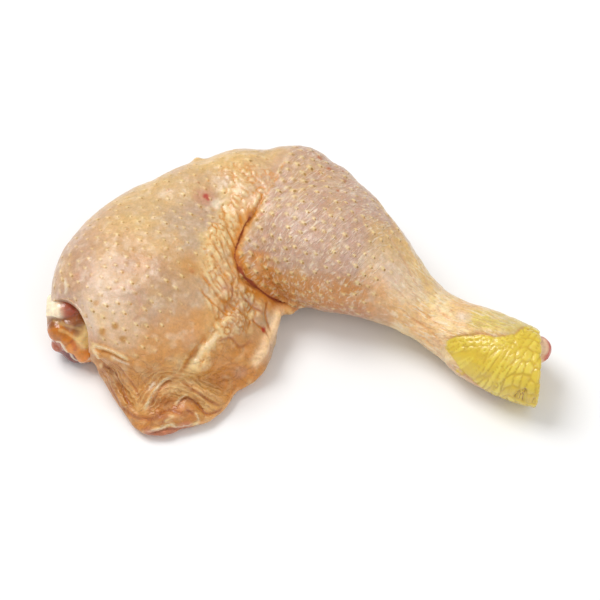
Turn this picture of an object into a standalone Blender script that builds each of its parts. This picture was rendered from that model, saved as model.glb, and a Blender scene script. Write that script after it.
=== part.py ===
"""A raw chicken leg: thigh and drumstick in one piece with the skin on, lying on its inner side.

The thigh points to -X and the drumstick to +X, bent at the knee, and the scaled hock is at the
far end. A loose apron of skin spreads from the thigh over the surface the leg lies on. At the hip
cut the flesh shows, and at the hock cut the end of the shank bone.

Lengths in the tables are millimetres, and MM turns them into Blender's metres. +Z is up.
"""

import math

import bmesh
import bpy
import numpy as np
from mathutils import Matrix, Vector
from mathutils.kdtree import KDTree

MM = 0.001

# Driving dimensions: how flat the drumstick lies, how full the rounded masses are (2 is a plain
# ellipsoid), and the gap between the leg and what is set into it
CALF_SQUASH = 0.88
FULLNESS = 2.25
SEAM_GAP = 0.35

# Fineness of the meshes: size of the cells that masses are blended in, rounds of smoothing after it,
# and the most triangles that are kept
LEG_CELL = 1.1
LEG_SMOOTHING = 20
LEG_TRIANGLES = 9600
FLESH_CELL = 0.8
FLESH_SMOOTHING = 4
FLESH_TRIANGLES = 1100
BONE_CELL = 0.8
BONE_SMOOTHING = 6
BONE_TRIANGLES = 700

# Stations of the drumstick from the knee to the hock cut: x, y, height of the axis, half width
DRUMSTICK = (
    (-6.0, 34.5, 24.0, 23.0),
    (3.0, 27.5, 24.0, 27.4),
    (12.0, 22.0, 23.5, 27.4),
    (20.0, 17.0, 22.5, 25.2),
    (28.0, 12.5, 20.5, 21.8),
    (36.0, 7.0, 18.5, 17.6),
    (44.0, 1.0, 16.5, 13.9),
    (52.0, -5.0, 15.0, 12.0),
    (60.0, -11.0, 14.5, 12.6),
    (67.5, -16.0, 14.5, 14.6),
    (75.0, -21.0, 14.5, 15.9),
    (84.0, -26.5, 14.5, 16.0),
    (98.0, -33.0, 13.8, 14.8),
)

# Rounded masses under the skin: centre, half sizes, turn about +Z in degrees
LEG_MASSES = {
    "thigh": ((-57.0, 12.5, 21.5), (46.0, 36.0, 22.5), 48.0),
    "thigh_back": ((-45.0, 38.5, 22.5), (26.0, 19.0, 21.5), 32.0),
    "thigh_at_knee": ((-25.0, 45.0, 23.0), (26.0, 21.5, 21.0), 20.0),
    "kneecap": ((-3.0, 48.0, 23.5), (20.5, 20.5, 20.5), 0.0),
    "knee_bridge": ((-17.0, 40.0, 24.5), (20.0, 24.0, 20.0), 0.0),
    "knee_back": ((7.0, 42.0, 23.0), (18.0, 19.5, 19.5), -30.0),
    "shin": ((18.0, 35.0, 23.0), (22.0, 15.5, 18.5), -48.0),
    "hip_end": ((-83.0, -6.0, 14.5), (17.0, 17.5, 14.5), 45.0),
    "thigh_front": ((-51.0, -8.0, 12.5), (34.0, 29.0, 23.0), 18.0),
    "thigh_middle": ((-44.0, 6.0, 18.0), (30.0, 26.0, 21.5), 30.0),
    "knee_pit": ((-21.0, 0.0, 12.0), (12.5, 16.0, 12.5), 0.0),
    "apron_root": ((-27.0, -15.0, 8.0), (15.0, 15.0, 14.0), 30.0),
    "knob": ((-3.8, 1.5, 10.5), (3.4, 4.0, 4.5), 0.0),
}

# Flesh in the hip cut: lumps of meat and fat, on a core that runs into the thigh. It stays a little
# above the surface that the leg lies on
FLESH_MASSES = {
    "core": ((-85.0, -5.0, 12.0), (16.0, 11.0, 9.5), 45.0),
    "meat": ((-92.5, -6.0, 18.0), (5.5, 5.0, 5.0), 0.0),
    "pale_lobe": ((-95.8, -5.0, 16.5), (4.2, 5.5, 4.6), 20.0),
    "amber_fat": ((-94.8, -11.8, 14.5), (5.4, 5.0, 5.4), 0.0),
    "middle_fat": ((-89.8, -14.6, 11.5), (6.0, 5.6, 5.6), 0.0),
    "cream_fat": ((-85.6, -17.6, 8.0), (4.6, 4.4, 4.6), 0.0),
    "lower_lobe": ((-94.6, -13.8, 7.0), (4.8, 4.4, 3.8), -30.0),
    "lower_meat": ((-90.6, -16.0, 4.2), (5.6, 4.2, 4.0), -30.0),
}

FLESH_FLOOR = 0.6

# The shank bone from its end at the hock into the drumstick: x, y, height, half width
SHANK_BONE = (
    (91.0, -27.0, 15.5, 6.0),
    (84.0, -25.0, 15.0, 5.0),
    (75.0, -20.5, 14.5, 4.2),
    (60.0, -11.0, 14.5, 3.8),
    (44.0, 1.0, 16.5, 4.0),
    (28.0, 12.5, 20.0, 4.8),
    (14.0, 21.0, 22.5, 5.6),
)
BONE_KNUCKLES = {
    "outer_knuckle": ((92.4, -22.8, 17.0), (6.8, 5.2, 6.2), -10.0),
    "inner_knuckle": ((88.6, -31.0, 13.5), (5.8, 5.2, 6.2), -10.0),
}

# The hip is cut with a rounded scoop: centre, half sizes, and how far it leans forward in degrees
HIP_SCOOP = ((-95.3, -23.0, 19.5), (13.0, 17.5, 24.0), 35.0)

# The hock is cut flat: a point on the plane, and the direction the piece cut away lies in
HOCK_CUT = ((93.4, -30.0, 13.0), (0.997, -0.074, 0.0))

# Folds of the skin: height of the fold (below zero sinks), half width, and points on the skin
FOLDS = {
    "knee_hollow": (-1.0, 5.0, ((-10, 60, 39), (-12, 50, 42), (-15, 42, 43), (-18, 33, 41), (-20, 27, 38))),
    "knee_crease": (
        -3.4,
        1.9,
        (
            (-19, 31, 40),
            (-21, 26, 38),
            (-24, 19, 37),
            (-26, 12, 36),
            (-24, 6, 33),
            (-17, 2, 25),
            (-9, 1, 17),
            (-3, -1, 13),
        ),
    ),
    "thigh_lip": (1.0, 5.0, ((-28, 30, 41), (-32, 18, 40), (-33, 8, 38), (-31, 0, 34))),
    "calf_lip": (0.9, 4.0, ((-17, 26, 39), (-20, 17, 38), (-20, 11, 36), (-13, 7, 28), (-5, 4, 22))),
    "knee_wrinkle_1": (-0.6, 1.9, ((-34, 15, 41), (-31, 8, 39), (-28, 0, 36), (-25, -6, 30))),
    "knee_wrinkle_2": (-0.6, 1.9, ((-39, 14, 42), (-36, 7, 40), (-33, 0, 37), (-30, -7, 31))),
    "valley": (-2.6, 2.4, ((-27, -4, 27), (-30, -11, 26), (-34, -19, 24), (-41, -26, 22), (-49, -33, 18))),
    "front_crease": (-1.0, 2.6, ((-49, -33, 18), (-58, -34, 18), (-67, -33, 19), (-76, -29, 20))),
    "valley_ridge": (2.2, 2.8, ((-24, -10, 23), (-29, -18, 23), (-36, -26, 20), (-44, -33, 16))),
    "peach_ridge": (2.0, 2.4, ((-8, 1, 14), (-10, -6, 13), (-12, -12, 10), (-13, -18, 8))),
    "pouch_fold_1": (-1.0, 1.6, ((-13, 0, 20), (-14, -7, 19), (-17, -14, 18))),
    "pouch_fold_2": (-1.0, 1.6, ((-20, 0, 24), (-20, -7, 23), (-23, -14, 21))),
    "hip_fold": (2.6, 2.0, ((-82, -21, 22), (-77, -25, 22), (-72, -27, 22), (-66, -29, 20))),
    "hip_fold_crease": (-2.2, 1.5, ((-81, -24, 15), (-76, -28, 15), (-71, -30, 15), (-66, -31, 15))),
    "hip_flap": (0.8, 1.6, ((-81, -23, 14), (-80, -26, 10), (-77, -30, 8))),
    "apron_left_1": (1.1, 1.6, ((-76, -31, 9), (-72, -38, 8), (-68, -45, 7))),
    "apron_left_2": (-1.1, 1.6, ((-72, -31, 11), (-68, -38, 9), (-64, -45, 8))),
    "apron_left_3": (1.0, 1.8, ((-69, -31, 13), (-65, -38, 10), (-61, -44, 9))),
    "chevron_1": (-1.6, 1.7, ((-61, -41, 10), (-53, -45, 9), (-45, -41, 10), (-39, -45, 8), (-31, -41, 6))),
    "chevron_2": (1.5, 2.0, ((-64, -36, 11), (-57, -40, 11), (-49, -37, 12), (-42, -39, 10), (-33, -37, 9))),
    "chevron_3": (1.2, 2.0, ((-58, -48, 8), (-51, -49, 7), (-44, -46, 8), (-37, -47, 6))),
    "apron_fold_1": (-0.7, 2.0, ((-44, -32, 14), (-37, -33, 12), (-30, -30, 11), (-23, -25, 13))),
    "apron_fold_2": (-0.7, 2.0, ((-26, -24, 16), (-21, -20, 16), (-17, -14, 16))),
    "apron_fold_3": (0.8, 2.2, ((-33, -36, 10), (-25, -30, 10), (-18, -24, 11), (-14, -16, 12))),
    "apron_lip": (-1.4, 1.3, ((-60, -52, 6), (-54, -52, 6), (-49, -50, 6), (-43, -49, 6))),
    "tendon_1": (0.5, 3.0, ((26, 41, 35), (38, 26, 34), (46, 10, 31), (52, -1, 28))),
    "tendon_2": (-0.5, 3.0, ((40, 12, 34), (48, 2, 29), (57, -10, 26))),
    "shank_wrinkle_1": (-0.4, 1.8, ((45, -6, 26), (55, -16, 24), (60, -22, 23))),
    "shank_wrinkle_2": (-0.4, 1.8, ((41, -9, 24), (49, -17, 20), (56, -25, 16))),
    "back_bump": (1.6, 2.6, ((-42, 56, 34), (-41, 56, 34))),
    "scale_border": (
        1.1,
        1.8,
        ((60, -21, 24), (66, -20, 27), (74, -20, 29), (80, -21, 29), (86, -18, 28), (93, -19, 26)),
    ),
    "torn_flap": (1.4, 1.8, ((59, -27, 14), (63, -30, 11))),
}

# Yellow scales of the hock: small ones in rows along the top of it, long ones down its side.
# Places round the hock are degrees from its front, rising over the top
HOCK_AXIS = ((60.0, -11.0, 14.5), (96.0, -32.0, 14.0))
SCALE_STEP = 3.0
SCALE_HEIGHT = 0.7
SCALE_SEED = 7
SCALE_BORDER_TURN = 42.0

# Degrees that a scale takes: small ones above the border, long ones below it, and those at the cut
SCALE_TURNS = (11.0, 32.0, 21.0)
SCALES_CHANGE = (22.0, 34.0)

# Where the scales start along the hock, and where they end over its top and under it
SCALES_START = (1.0, 4.0)
SCALES_TOP = (66.0, 74.0)
SCALES_UNDER = (-165.0, -150.0)

# The skin apron's edge, from the hip round to the knee pit: x, y, height of the edge
APRON_EDGE = (
    (-82.0, -18.5, 11.0),
    (-80.5, -26.0, 8.0),
    (-77.0, -32.5, 6.5),
    (-73.0, -39.0, 6.0),
    (-68.5, -46.0, 5.5),
    (-64.5, -51.5, 5.0),
    (-59.7, -54.4, 5.0),
    (-52.6, -54.4, 5.0),
    (-45.0, -51.0, 5.0),
    (-37.0, -49.0, 5.0),
    (-30.5, -44.0, 5.0),
    (-27.0, -38.3, 5.0),
    (-23.7, -33.4, 5.5),
    (-19.8, -32.0, 6.0),
    (-14.4, -27.0, 7.0),
    (-10.8, -18.0, 8.0),
    (-10.0, -9.0, 9.0),
    (-8.5, -2.0, 9.5),
    (-4.0, 8.0, 9.0),
)

# The apron's inner outline under the thigh, the slope of its rise from the edge, how high it rises,
# and its thickness at the edge
APRON_INNER = ((-30.0, 22.0), (-56.0, 24.0), (-80.0, 4.0))
APRON_RISE = 0.85
APRON_CREST = 24.0
APRON_THICKNESS = 3.0
APRON_CELL = 1.0

# Side of the block that the hock is cut with
BLOCK_SIDE = 90.0


def clear_scene():
    for obj in list(bpy.data.objects):
        bpy.data.objects.remove(obj, do_unlink=True)


def new_collection(name):
    collection = bpy.data.collections.new(name)
    bpy.context.scene.collection.children.link(collection)
    return collection


def object_from_bmesh(bm, name, collection):
    mesh = bpy.data.meshes.new(name)
    bm.to_mesh(mesh)
    bm.free()
    obj = bpy.data.objects.new(name, mesh)
    collection.objects.link(obj)
    return obj


def mass(name, centre, half_sizes, turn, collection):
    """A rounded mass: a sphere primitive made fuller, stretched and turned about +Z."""
    bm = bmesh.new()
    bmesh.ops.create_uvsphere(bm, u_segments=48, v_segments=24, radius=1.0)
    for vert in bm.verts:
        reach = sum(abs(c) ** FULLNESS for c in vert.co) ** (1 / FULLNESS)
        vert.co *= MM / reach
    place = (
        Matrix.Translation(Vector(centre) * MM)
        @ Matrix.Rotation(math.radians(turn), 4, "Z")
        @ Matrix.Diagonal((*half_sizes, 1.0))
    )
    bmesh.ops.transform(bm, matrix=place, verts=bm.verts)
    return object_from_bmesh(bm, name, collection)


def limb(name, stations, squash, collection):
    """A round limb along a smooth curve whose radius follows the stations, flattened by squash."""
    curve = bpy.data.curves.new(name, "CURVE")
    curve.dimensions = "3D"
    curve.resolution_u = 6
    curve.bevel_depth = MM
    curve.bevel_resolution = 10
    curve.use_fill_caps = True
    spline = curve.splines.new("BEZIER")
    spline.bezier_points.add(len(stations) - 1)
    for point, (x, y, z, radius) in zip(spline.bezier_points, stations):
        point.co = (x * MM, y * MM, z * MM / squash)
        point.radius = radius
        point.handle_left_type = point.handle_right_type = "AUTO"
    guide = bpy.data.objects.new(name, curve)
    collection.objects.link(guide)
    guide.scale.z = squash
    return mesh_of_curve(guide, collection)


def mesh_of_curve(guide, collection):
    """The curve as a closed mesh in world space, in place of the curve."""
    bpy.context.view_layer.update()
    graph = bpy.context.evaluated_depsgraph_get()
    mesh = bpy.data.meshes.new_from_object(guide.evaluated_get(graph))
    mesh.transform(guide.matrix_world)
    bm = bmesh.new()
    bm.from_mesh(mesh)
    bmesh.ops.remove_doubles(bm, verts=bm.verts, dist=0.01 * MM)
    bm.to_mesh(mesh)
    bm.free()
    name = guide.name
    bpy.data.objects.remove(guide)
    obj = bpy.data.objects.new(name, mesh)
    collection.objects.link(obj)
    return obj


def coordinates(obj):
    co = np.empty(len(obj.data.vertices) * 3, np.float32)
    obj.data.vertices.foreach_get("co", co)
    return co.reshape(-1, 3).astype(float) / MM


def set_coordinates(obj, co):
    obj.data.vertices.foreach_set("co", (co * MM).astype(np.float32).ravel())
    obj.data.update()


def normals(obj):
    found = np.empty(len(obj.data.vertices) * 3, np.float32)
    obj.data.vertices.foreach_get("normal", found)
    return found.reshape(-1, 3).astype(float)


def apply_modifier(obj, kind, **settings):
    """Adds one modifier with these settings and applies it to the mesh."""
    modifier = obj.modifiers.new(kind.title(), kind)
    for key, value in settings.items():
        setattr(modifier, key, value)
    bpy.context.view_layer.update()
    graph = bpy.context.evaluated_depsgraph_get()
    mesh = bpy.data.meshes.new_from_object(obj.evaluated_get(graph))
    old = obj.data
    obj.modifiers.clear()
    obj.data = mesh
    bpy.data.meshes.remove(old)
    return obj


def curve_through(points, steps=8):
    """A smooth Catmull-Rom line through the points, with this many steps in each stretch."""
    points = np.array(points, float)
    padded = np.vstack([2 * points[0] - points[1], points, 2 * points[-1] - points[-2]])
    t = np.linspace(0, 1, steps, endpoint=False)[:, None]
    line = []
    for a, b, c, d in zip(padded, padded[1:], padded[2:], padded[3:]):
        line.append(
            0.5
            * (
                2 * b
                + (c - a) * t
                + (2 * a - 5 * b + 4 * c - d) * t**2
                + (3 * b - a - 3 * c + d) * t**3
            )
        )
    return np.vstack([*line, points[-1:]])


def smooth_step(x, low, high):
    t = np.clip((x - low) / (high - low), 0.0, 1.0)
    return t * t * (3 - 2 * t)


def distance_to_line(co, line):
    """How far each point is from a line of points, and where along it the nearest one is, 0 to 1."""
    best = np.full(len(co), np.inf)
    share = np.zeros(len(co))
    last = len(line) - 1
    for i, (a, b) in enumerate(zip(line, line[1:])):
        along = np.clip(((co - a) @ (b - a)) / max((b - a) @ (b - a), 1e-9), 0, 1)
        gap = np.linalg.norm(co - a - along[:, None] * (b - a), axis=1)
        nearer = gap < best
        best[nearer] = gap[nearer]
        share[nearer] = (i + along[nearer]) / last
    return best, share


def skin_apron(collection):
    """The loose skin: its outline filled and extruded, then draped from its edge up to the thigh."""
    edge = curve_through(APRON_EDGE, steps=6)
    outline = [tuple(p[:2]) for p in edge] + list(APRON_INNER)
    curve = bpy.data.curves.new("apron", "CURVE")
    curve.dimensions = "2D"
    curve.fill_mode = "BOTH"
    curve.extrude = APRON_THICKNESS * MM
    spline = curve.splines.new("POLY")
    spline.points.add(len(outline) - 1)
    for point, (x, y) in zip(spline.points, outline):
        point.co = (x * MM, y * MM, 0.0, 1.0)
    spline.use_cyclic_u = True
    guide = bpy.data.objects.new("apron", curve)
    collection.objects.link(guide)
    apron = mesh_of_curve(guide, collection)
    apply_modifier(apron, "REMESH", mode="VOXEL", voxel_size=APRON_CELL * MM)
    co = coordinates(apron)
    inside, share = distance_to_line(co[:, :2], edge[:, :2])
    heights = np.interp(share, np.linspace(0, 1, len(edge)), edge[:, 2])
    rise = APRON_CREST * (1 - np.exp(-inside * APRON_RISE / APRON_CREST))
    top = heights + rise
    under = np.maximum(top - APRON_THICKNESS - inside, 0.0)
    level = np.clip(co[:, 2] / (2 * APRON_THICKNESS) + 0.5, 0, 1)
    co[:, 2] = under + (top - under) * level
    set_coordinates(apron, co)
    return apron


def blend(name, pieces, cell, rounds, collection):
    """One closed body out of overlapping masses: joined, remeshed and smoothed together."""
    bm = bmesh.new()
    for piece in pieces:
        bm.from_mesh(piece.data)
    body = object_from_bmesh(bm, name, collection)
    for piece in pieces:
        bpy.data.objects.remove(piece)
    apply_modifier(body, "REMESH", mode="VOXEL", voxel_size=cell * MM)
    apply_modifier(body, "SMOOTH", factor=0.5, iterations=rounds)
    return body


def fold_skin(co, directions, height, width, points):
    """One fold: the skin near a line of points moves out, or in where the height is below zero.

    It fades out at both ends, apart from a lone bump, which is given as two points.
    """
    tree = KDTree(len(co))
    for i, p in enumerate(co):
        tree.insert(p, i)
    tree.balance()
    line = np.array([tree.find(p)[0] for p in curve_through(points, steps=5)])
    gap, share = distance_to_line(co, line)
    ends = smooth_step(share, 0.0, 0.2) * smooth_step(1 - share, 0.0, 0.2)
    if len(points) == 2:
        ends = 1.0
    return co + directions * (height * np.exp(-((gap / width) ** 2)) * ends)[:, None]


def cells(a, b, seed):
    """Height 0 to 1 of domes over a jittered lattice of cells one unit wide, with grooves between."""
    jitter = np.random.default_rng(seed).uniform(-0.3, 0.3, (64, 64, 2))
    base_a, base_b = np.floor(a).astype(int), np.floor(b).astype(int)
    first = np.full(len(a), 9.0)
    second = np.full(len(a), 9.0)
    for i in (-1, 0, 1):
        for j in (-1, 0, 1):
            ca, cb = base_a + i, base_b + j
            shift = jitter[ca % 64, cb % 64]
            gap = np.hypot(ca + 0.5 + shift[:, 0] - a, cb + 0.5 + shift[:, 1] - b)
            second = np.where(gap < first, first, np.minimum(second, gap))
            first = np.minimum(first, gap)
    return smooth_step(second - first, 0.0, 0.45)


def hock_scales(co):
    """Height of the hock's scales at each point: domed plates with grooves between them."""
    start, end = np.array(HOCK_AXIS)
    axis = (end - start) / np.linalg.norm(end - start)
    across = np.cross(axis, (0.0, 0.0, 1.0))
    across /= np.linalg.norm(across)
    upward = np.cross(across, axis)
    offset = co - start
    along = offset @ axis
    turn = np.degrees(np.arctan2(offset @ upward, offset @ across))
    small, long, long_at_cut = SCALE_TURNS
    below = long + (long_at_cut - long) * smooth_step(along, *SCALES_CHANGE)
    past_border = turn - SCALE_BORDER_TURN
    plate = cells(along / SCALE_STEP, past_border / np.where(past_border > 0, small, below), SCALE_SEED)
    scaled = smooth_step(along, *SCALES_START) * smooth_step(turn, *SCALES_UNDER)
    scaled *= 1 - smooth_step(turn, *SCALES_TOP)
    return SCALE_HEIGHT * plate * scaled


def build_leg(collection, helpers):
    pieces = [limb("drumstick", DRUMSTICK, CALF_SQUASH, helpers)]
    for name, (centre, half_sizes, turn) in LEG_MASSES.items():
        pieces.append(mass(name, centre, half_sizes, turn, helpers))
    pieces.append(skin_apron(helpers))
    leg = blend("leg", pieces, LEG_CELL, LEG_SMOOTHING, collection)
    co = coordinates(leg)
    for height, width, points in FOLDS.values():
        co = fold_skin(co, normals(leg), height, width, points)
        set_coordinates(leg, co)
    co += normals(leg) * hock_scales(co)[:, None]
    co[:, 2] = np.maximum(co[:, 2], 0.0)
    set_coordinates(leg, co)
    thin_out(leg, LEG_TRIANGLES)
    return leg


def thin_out(obj, triangles):
    """Brings the mesh down to this many triangles, with its underside kept flat."""
    obj.data.calc_loop_triangles()
    ratio = triangles / len(obj.data.loop_triangles)
    apply_modifier(obj, "DECIMATE", ratio=min(ratio, 1.0))
    co = coordinates(obj)
    co[:, 2] = np.maximum(co[:, 2], 0.0)
    set_coordinates(obj, co)


def build_hip_flesh(collection, helpers):
    pieces = []
    for name, (centre, half_sizes, turn) in FLESH_MASSES.items():
        pieces.append(mass(name, centre, half_sizes, turn, helpers))
    flesh = blend("hip_flesh", pieces, FLESH_CELL, FLESH_SMOOTHING, collection)
    co = coordinates(flesh)
    co[:, 2] = np.maximum(co[:, 2], FLESH_FLOOR)
    set_coordinates(flesh, co)
    thin_out(flesh, FLESH_TRIANGLES)
    return flesh


def build_shank_bone(collection, helpers):
    pieces = [limb("shaft", SHANK_BONE, 1.0, helpers)]
    for name, (centre, half_sizes, turn) in BONE_KNUCKLES.items():
        pieces.append(mass(name, centre, half_sizes, turn, helpers))
    bone = blend("shank_bone", pieces, BONE_CELL, BONE_SMOOTHING, collection)
    thin_out(bone, BONE_TRIANGLES)
    return bone


def scoop(name, collection):
    """The rounded mass that the hip is cut with, leaning forward."""
    centre, half_sizes, lean = HIP_SCOOP
    cutter = mass(name, (0.0, 0.0, 0.0), half_sizes, 0.0, collection)
    lay = Matrix.Translation(Vector(centre) * MM) @ Matrix.Rotation(math.radians(lean), 4, "X")
    cutter.data.transform(lay)
    return cutter


def block(name, cut, collection):
    """A block with one face on the cut plane, on the side that is cut away."""
    point, direction = cut
    bm = bmesh.new()
    bmesh.ops.create_cube(bm, size=BLOCK_SIDE * MM)
    facing = Vector(direction).to_track_quat("Z", "Y").to_matrix().to_4x4()
    place = Matrix.Translation(Vector(point) * MM) @ facing @ Matrix.Translation((0, 0, BLOCK_SIDE / 2 * MM))
    bmesh.ops.transform(bm, matrix=place, verts=bm.verts)
    return object_from_bmesh(bm, name, collection)


def socket(name, filling, collection):
    """The filling's own shape, larger by the gap all round."""
    cutter = bpy.data.objects.new(name, filling.data.copy())
    collection.objects.link(cutter)
    set_coordinates(cutter, coordinates(filling) + normals(filling) * SEAM_GAP)
    return cutter


def cut_away(obj, cutter):
    cutter.hide_render = True
    cutter.display_type = "WIRE"
    modifier = obj.modifiers.new(cutter.name, "BOOLEAN")
    modifier.operation = "DIFFERENCE"
    modifier.solver = "EXACT"
    modifier.object = cutter


def coat(obj, name, colour, roughness):
    """Gives the object one plain material of its own."""
    material = bpy.data.materials.new(name)
    material.use_nodes = True
    shader = material.node_tree.nodes["Principled BSDF"]
    shader.inputs["Base Color"].default_value = (*colour, 1.0)
    shader.inputs["Roughness"].default_value = roughness
    shader.inputs["Metallic"].default_value = 0.0
    obj.data.materials.clear()
    obj.data.materials.append(material)
    obj.data.shade_smooth()


def recentre(parts, cutters):
    """Moves every mesh so that the cut leg stands centred over the origin, on the plane z = 0."""
    bpy.context.view_layer.update()
    graph = bpy.context.evaluated_depsgraph_get()
    corners = np.array([corner[:] for part in parts for corner in part.evaluated_get(graph).bound_box])
    low, high = corners.min(axis=0), corners.max(axis=0)
    shift = Matrix.Translation((-(low[0] + high[0]) / 2, -(low[1] + high[1]) / 2, -low[2]))
    for obj in (*parts, *cutters):
        obj.data.transform(shift)


def main():
    clear_scene()
    collection = new_collection("raw_chicken_leg")
    helpers = new_collection("cutters")
    leg = build_leg(collection, helpers)
    flesh = build_hip_flesh(collection, helpers)
    bone = build_shank_bone(collection, helpers)
    cutters = (
        scoop("hip_cut", helpers),
        block("hock_cut", HOCK_CUT, helpers),
        socket("flesh_socket", flesh, helpers),
        socket("bone_bore", bone, helpers),
    )
    for cutter in cutters:
        cut_away(leg, cutter)
    recentre((leg, flesh, bone), cutters)
    coat(leg, "chicken_skin", (0.66, 0.46, 0.30), 0.42)
    coat(flesh, "flesh_and_fat", (0.56, 0.22, 0.10), 0.30)
    coat(bone, "bone_and_cartilage", (0.75, 0.70, 0.62), 0.35)


main()
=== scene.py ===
import itertools
import math

import bmesh
import bpy
import numpy as np
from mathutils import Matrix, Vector
from mathutils.bvhtree import BVHTree
from mathutils.kdtree import KDTree


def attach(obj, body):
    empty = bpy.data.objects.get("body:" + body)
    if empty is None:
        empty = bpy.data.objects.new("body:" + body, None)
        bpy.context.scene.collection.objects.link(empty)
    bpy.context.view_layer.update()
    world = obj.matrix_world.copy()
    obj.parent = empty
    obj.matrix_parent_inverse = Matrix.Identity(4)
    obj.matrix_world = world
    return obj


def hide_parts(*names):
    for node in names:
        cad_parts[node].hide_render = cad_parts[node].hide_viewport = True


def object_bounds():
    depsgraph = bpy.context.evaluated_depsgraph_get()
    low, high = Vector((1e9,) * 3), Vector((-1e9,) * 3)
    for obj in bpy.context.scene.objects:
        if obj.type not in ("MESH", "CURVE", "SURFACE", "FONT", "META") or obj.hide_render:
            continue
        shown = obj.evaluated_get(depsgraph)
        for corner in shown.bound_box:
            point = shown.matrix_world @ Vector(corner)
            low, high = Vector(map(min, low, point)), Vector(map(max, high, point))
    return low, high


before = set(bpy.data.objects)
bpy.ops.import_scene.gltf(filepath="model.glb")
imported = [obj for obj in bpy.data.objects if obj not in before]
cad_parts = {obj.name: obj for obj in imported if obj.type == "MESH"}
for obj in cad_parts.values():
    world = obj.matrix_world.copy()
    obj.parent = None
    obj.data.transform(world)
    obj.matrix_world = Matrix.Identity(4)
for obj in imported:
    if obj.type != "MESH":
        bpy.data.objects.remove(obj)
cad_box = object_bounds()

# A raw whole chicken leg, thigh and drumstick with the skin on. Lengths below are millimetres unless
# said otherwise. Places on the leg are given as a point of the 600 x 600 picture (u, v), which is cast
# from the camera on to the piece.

MM = 0.001
PICTURE = 600
SENSOR = 36.0
LENS = 110.0
ELEVATION = 55.0
AIM = (0.7, -7.06, 18.0)
REACH = 733.3

# How near two points are merged, and how far every piece stays inside the solids' box
MERGE_GAP = 0.01
BOX_MARGIN = 0.02

# Where a place is looked for when nothing shows at its own point: rings in picture points, and angles
SEARCH_RINGS = range(0, 14, 2)
SEARCH_ANGLES = [turn * math.pi / 4 for turn in range(8)]

NOISE_TABLE = 32
NOISE_SHIFT = 400.0
NEIGHBOURS = list(itertools.product((-1, 0, 1), repeat=3))


# The camera

def make_camera():
    tilt = math.radians(ELEVATION)
    back = Vector((0.0, -math.cos(tilt), math.sin(tilt)))
    bpy.ops.object.camera_add(location=(Vector(AIM) + back * REACH) * MM, rotation=(math.pi / 2 - tilt, 0, 0))
    camera = bpy.context.object
    camera.name = "camera"
    camera.data.lens = LENS
    camera.data.sensor_width = SENSOR
    camera.data.clip_start = 0.02
    bpy.context.scene.camera = camera
    bpy.context.view_layer.update()
    return camera, np.array(back)


camera, to_camera = make_camera()


def ray_through(u, v):
    """The camera's place and the direction it sees this point of the picture in."""
    focal = LENS / SENSOR * PICTURE
    seen = Vector((u - PICTURE / 2, PICTURE / 2 - v, -focal))
    return camera.matrix_world.translation, (camera.matrix_world.to_3x3() @ seen).normalized()


# Mesh helpers

def only(obj):
    bpy.ops.object.select_all(action="DESELECT")
    obj.select_set(True)
    bpy.context.view_layer.objects.active = obj
    return obj


def copy_of_node(node, name):
    """A piece that starts as a merged copy of a solid."""
    piece = bpy.data.objects.new(name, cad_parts[node].data.copy())
    bpy.context.scene.collection.objects.link(piece)
    piece.data.materials.clear()
    only(piece)
    bpy.ops.object.mode_set(mode="EDIT")
    bpy.ops.mesh.select_all(action="SELECT")
    bpy.ops.mesh.remove_doubles(threshold=MERGE_GAP * MM)
    bpy.ops.object.mode_set(mode="OBJECT")
    return piece


def apply_modifier(piece, kind, **values):
    only(piece)
    modifier = piece.modifiers.new(kind.title(), kind)
    for key, value in values.items():
        setattr(modifier, key, value)
    bpy.ops.object.modifier_apply(modifier=modifier.name)


def refine(piece, cell, rounds):
    """Turns the solid's large facets into an even fine mesh with rounded forms."""
    apply_modifier(piece, "SUBSURF", levels=1, render_levels=1)
    apply_modifier(piece, "REMESH", mode="VOXEL", voxel_size=cell * MM)
    apply_modifier(piece, "SMOOTH", factor=0.5, iterations=rounds)


def points_of(piece):
    co = np.empty(len(piece.data.vertices) * 3, np.float32)
    piece.data.vertices.foreach_get("co", co)
    return co.reshape(-1, 3).astype(float) / MM


def set_points(piece, co):
    piece.data.vertices.foreach_set("co", (co * MM).astype(np.float32).ravel())
    piece.data.update()


def normals_of(piece):
    found = np.empty(len(piece.data.vertices) * 3, np.float32)
    piece.data.vertices.foreach_get("normal", found)
    return found.reshape(-1, 3).astype(float)


def edges_of(piece):
    ends = np.empty(len(piece.data.edges) * 2, np.int32)
    piece.data.edges.foreach_get("vertices", ends)
    return ends.reshape(-1, 2).T


def raise_surface(piece, height):
    """Moves each point out along its normal by its height, inside the solids' box."""
    co = points_of(piece) + normals_of(piece) * height[:, None]
    low, high = np.array(cad_box[0]) / MM, np.array(cad_box[1]) / MM
    set_points(piece, np.clip(co, low + BOX_MARGIN, high - BOX_MARGIN))


def softened(piece, co, rounds):
    """The points after this many rounds of each going to the middle of its neighbours."""
    a, b = edges_of(piece)
    count = np.bincount(np.concatenate([a, b]), minlength=len(co))[:, None]
    for _ in range(rounds):
        total = [np.bincount(a, co[b, k], len(co)) + np.bincount(b, co[a, k], len(co)) for k in range(3)]
        co = np.stack(total, axis=1) / count
    return co


def hollowness(piece, rounds):
    """How far each point lies below the middle of its neighbourhood."""
    co = points_of(piece)
    return np.sum((softened(piece, co, rounds) - co) * normals_of(piece), axis=1)


def tree_of(piece):
    bm = bmesh.new()
    bm.from_mesh(piece.data)
    tree = BVHTree.FromBMesh(bm)
    bm.free()
    return tree


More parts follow.
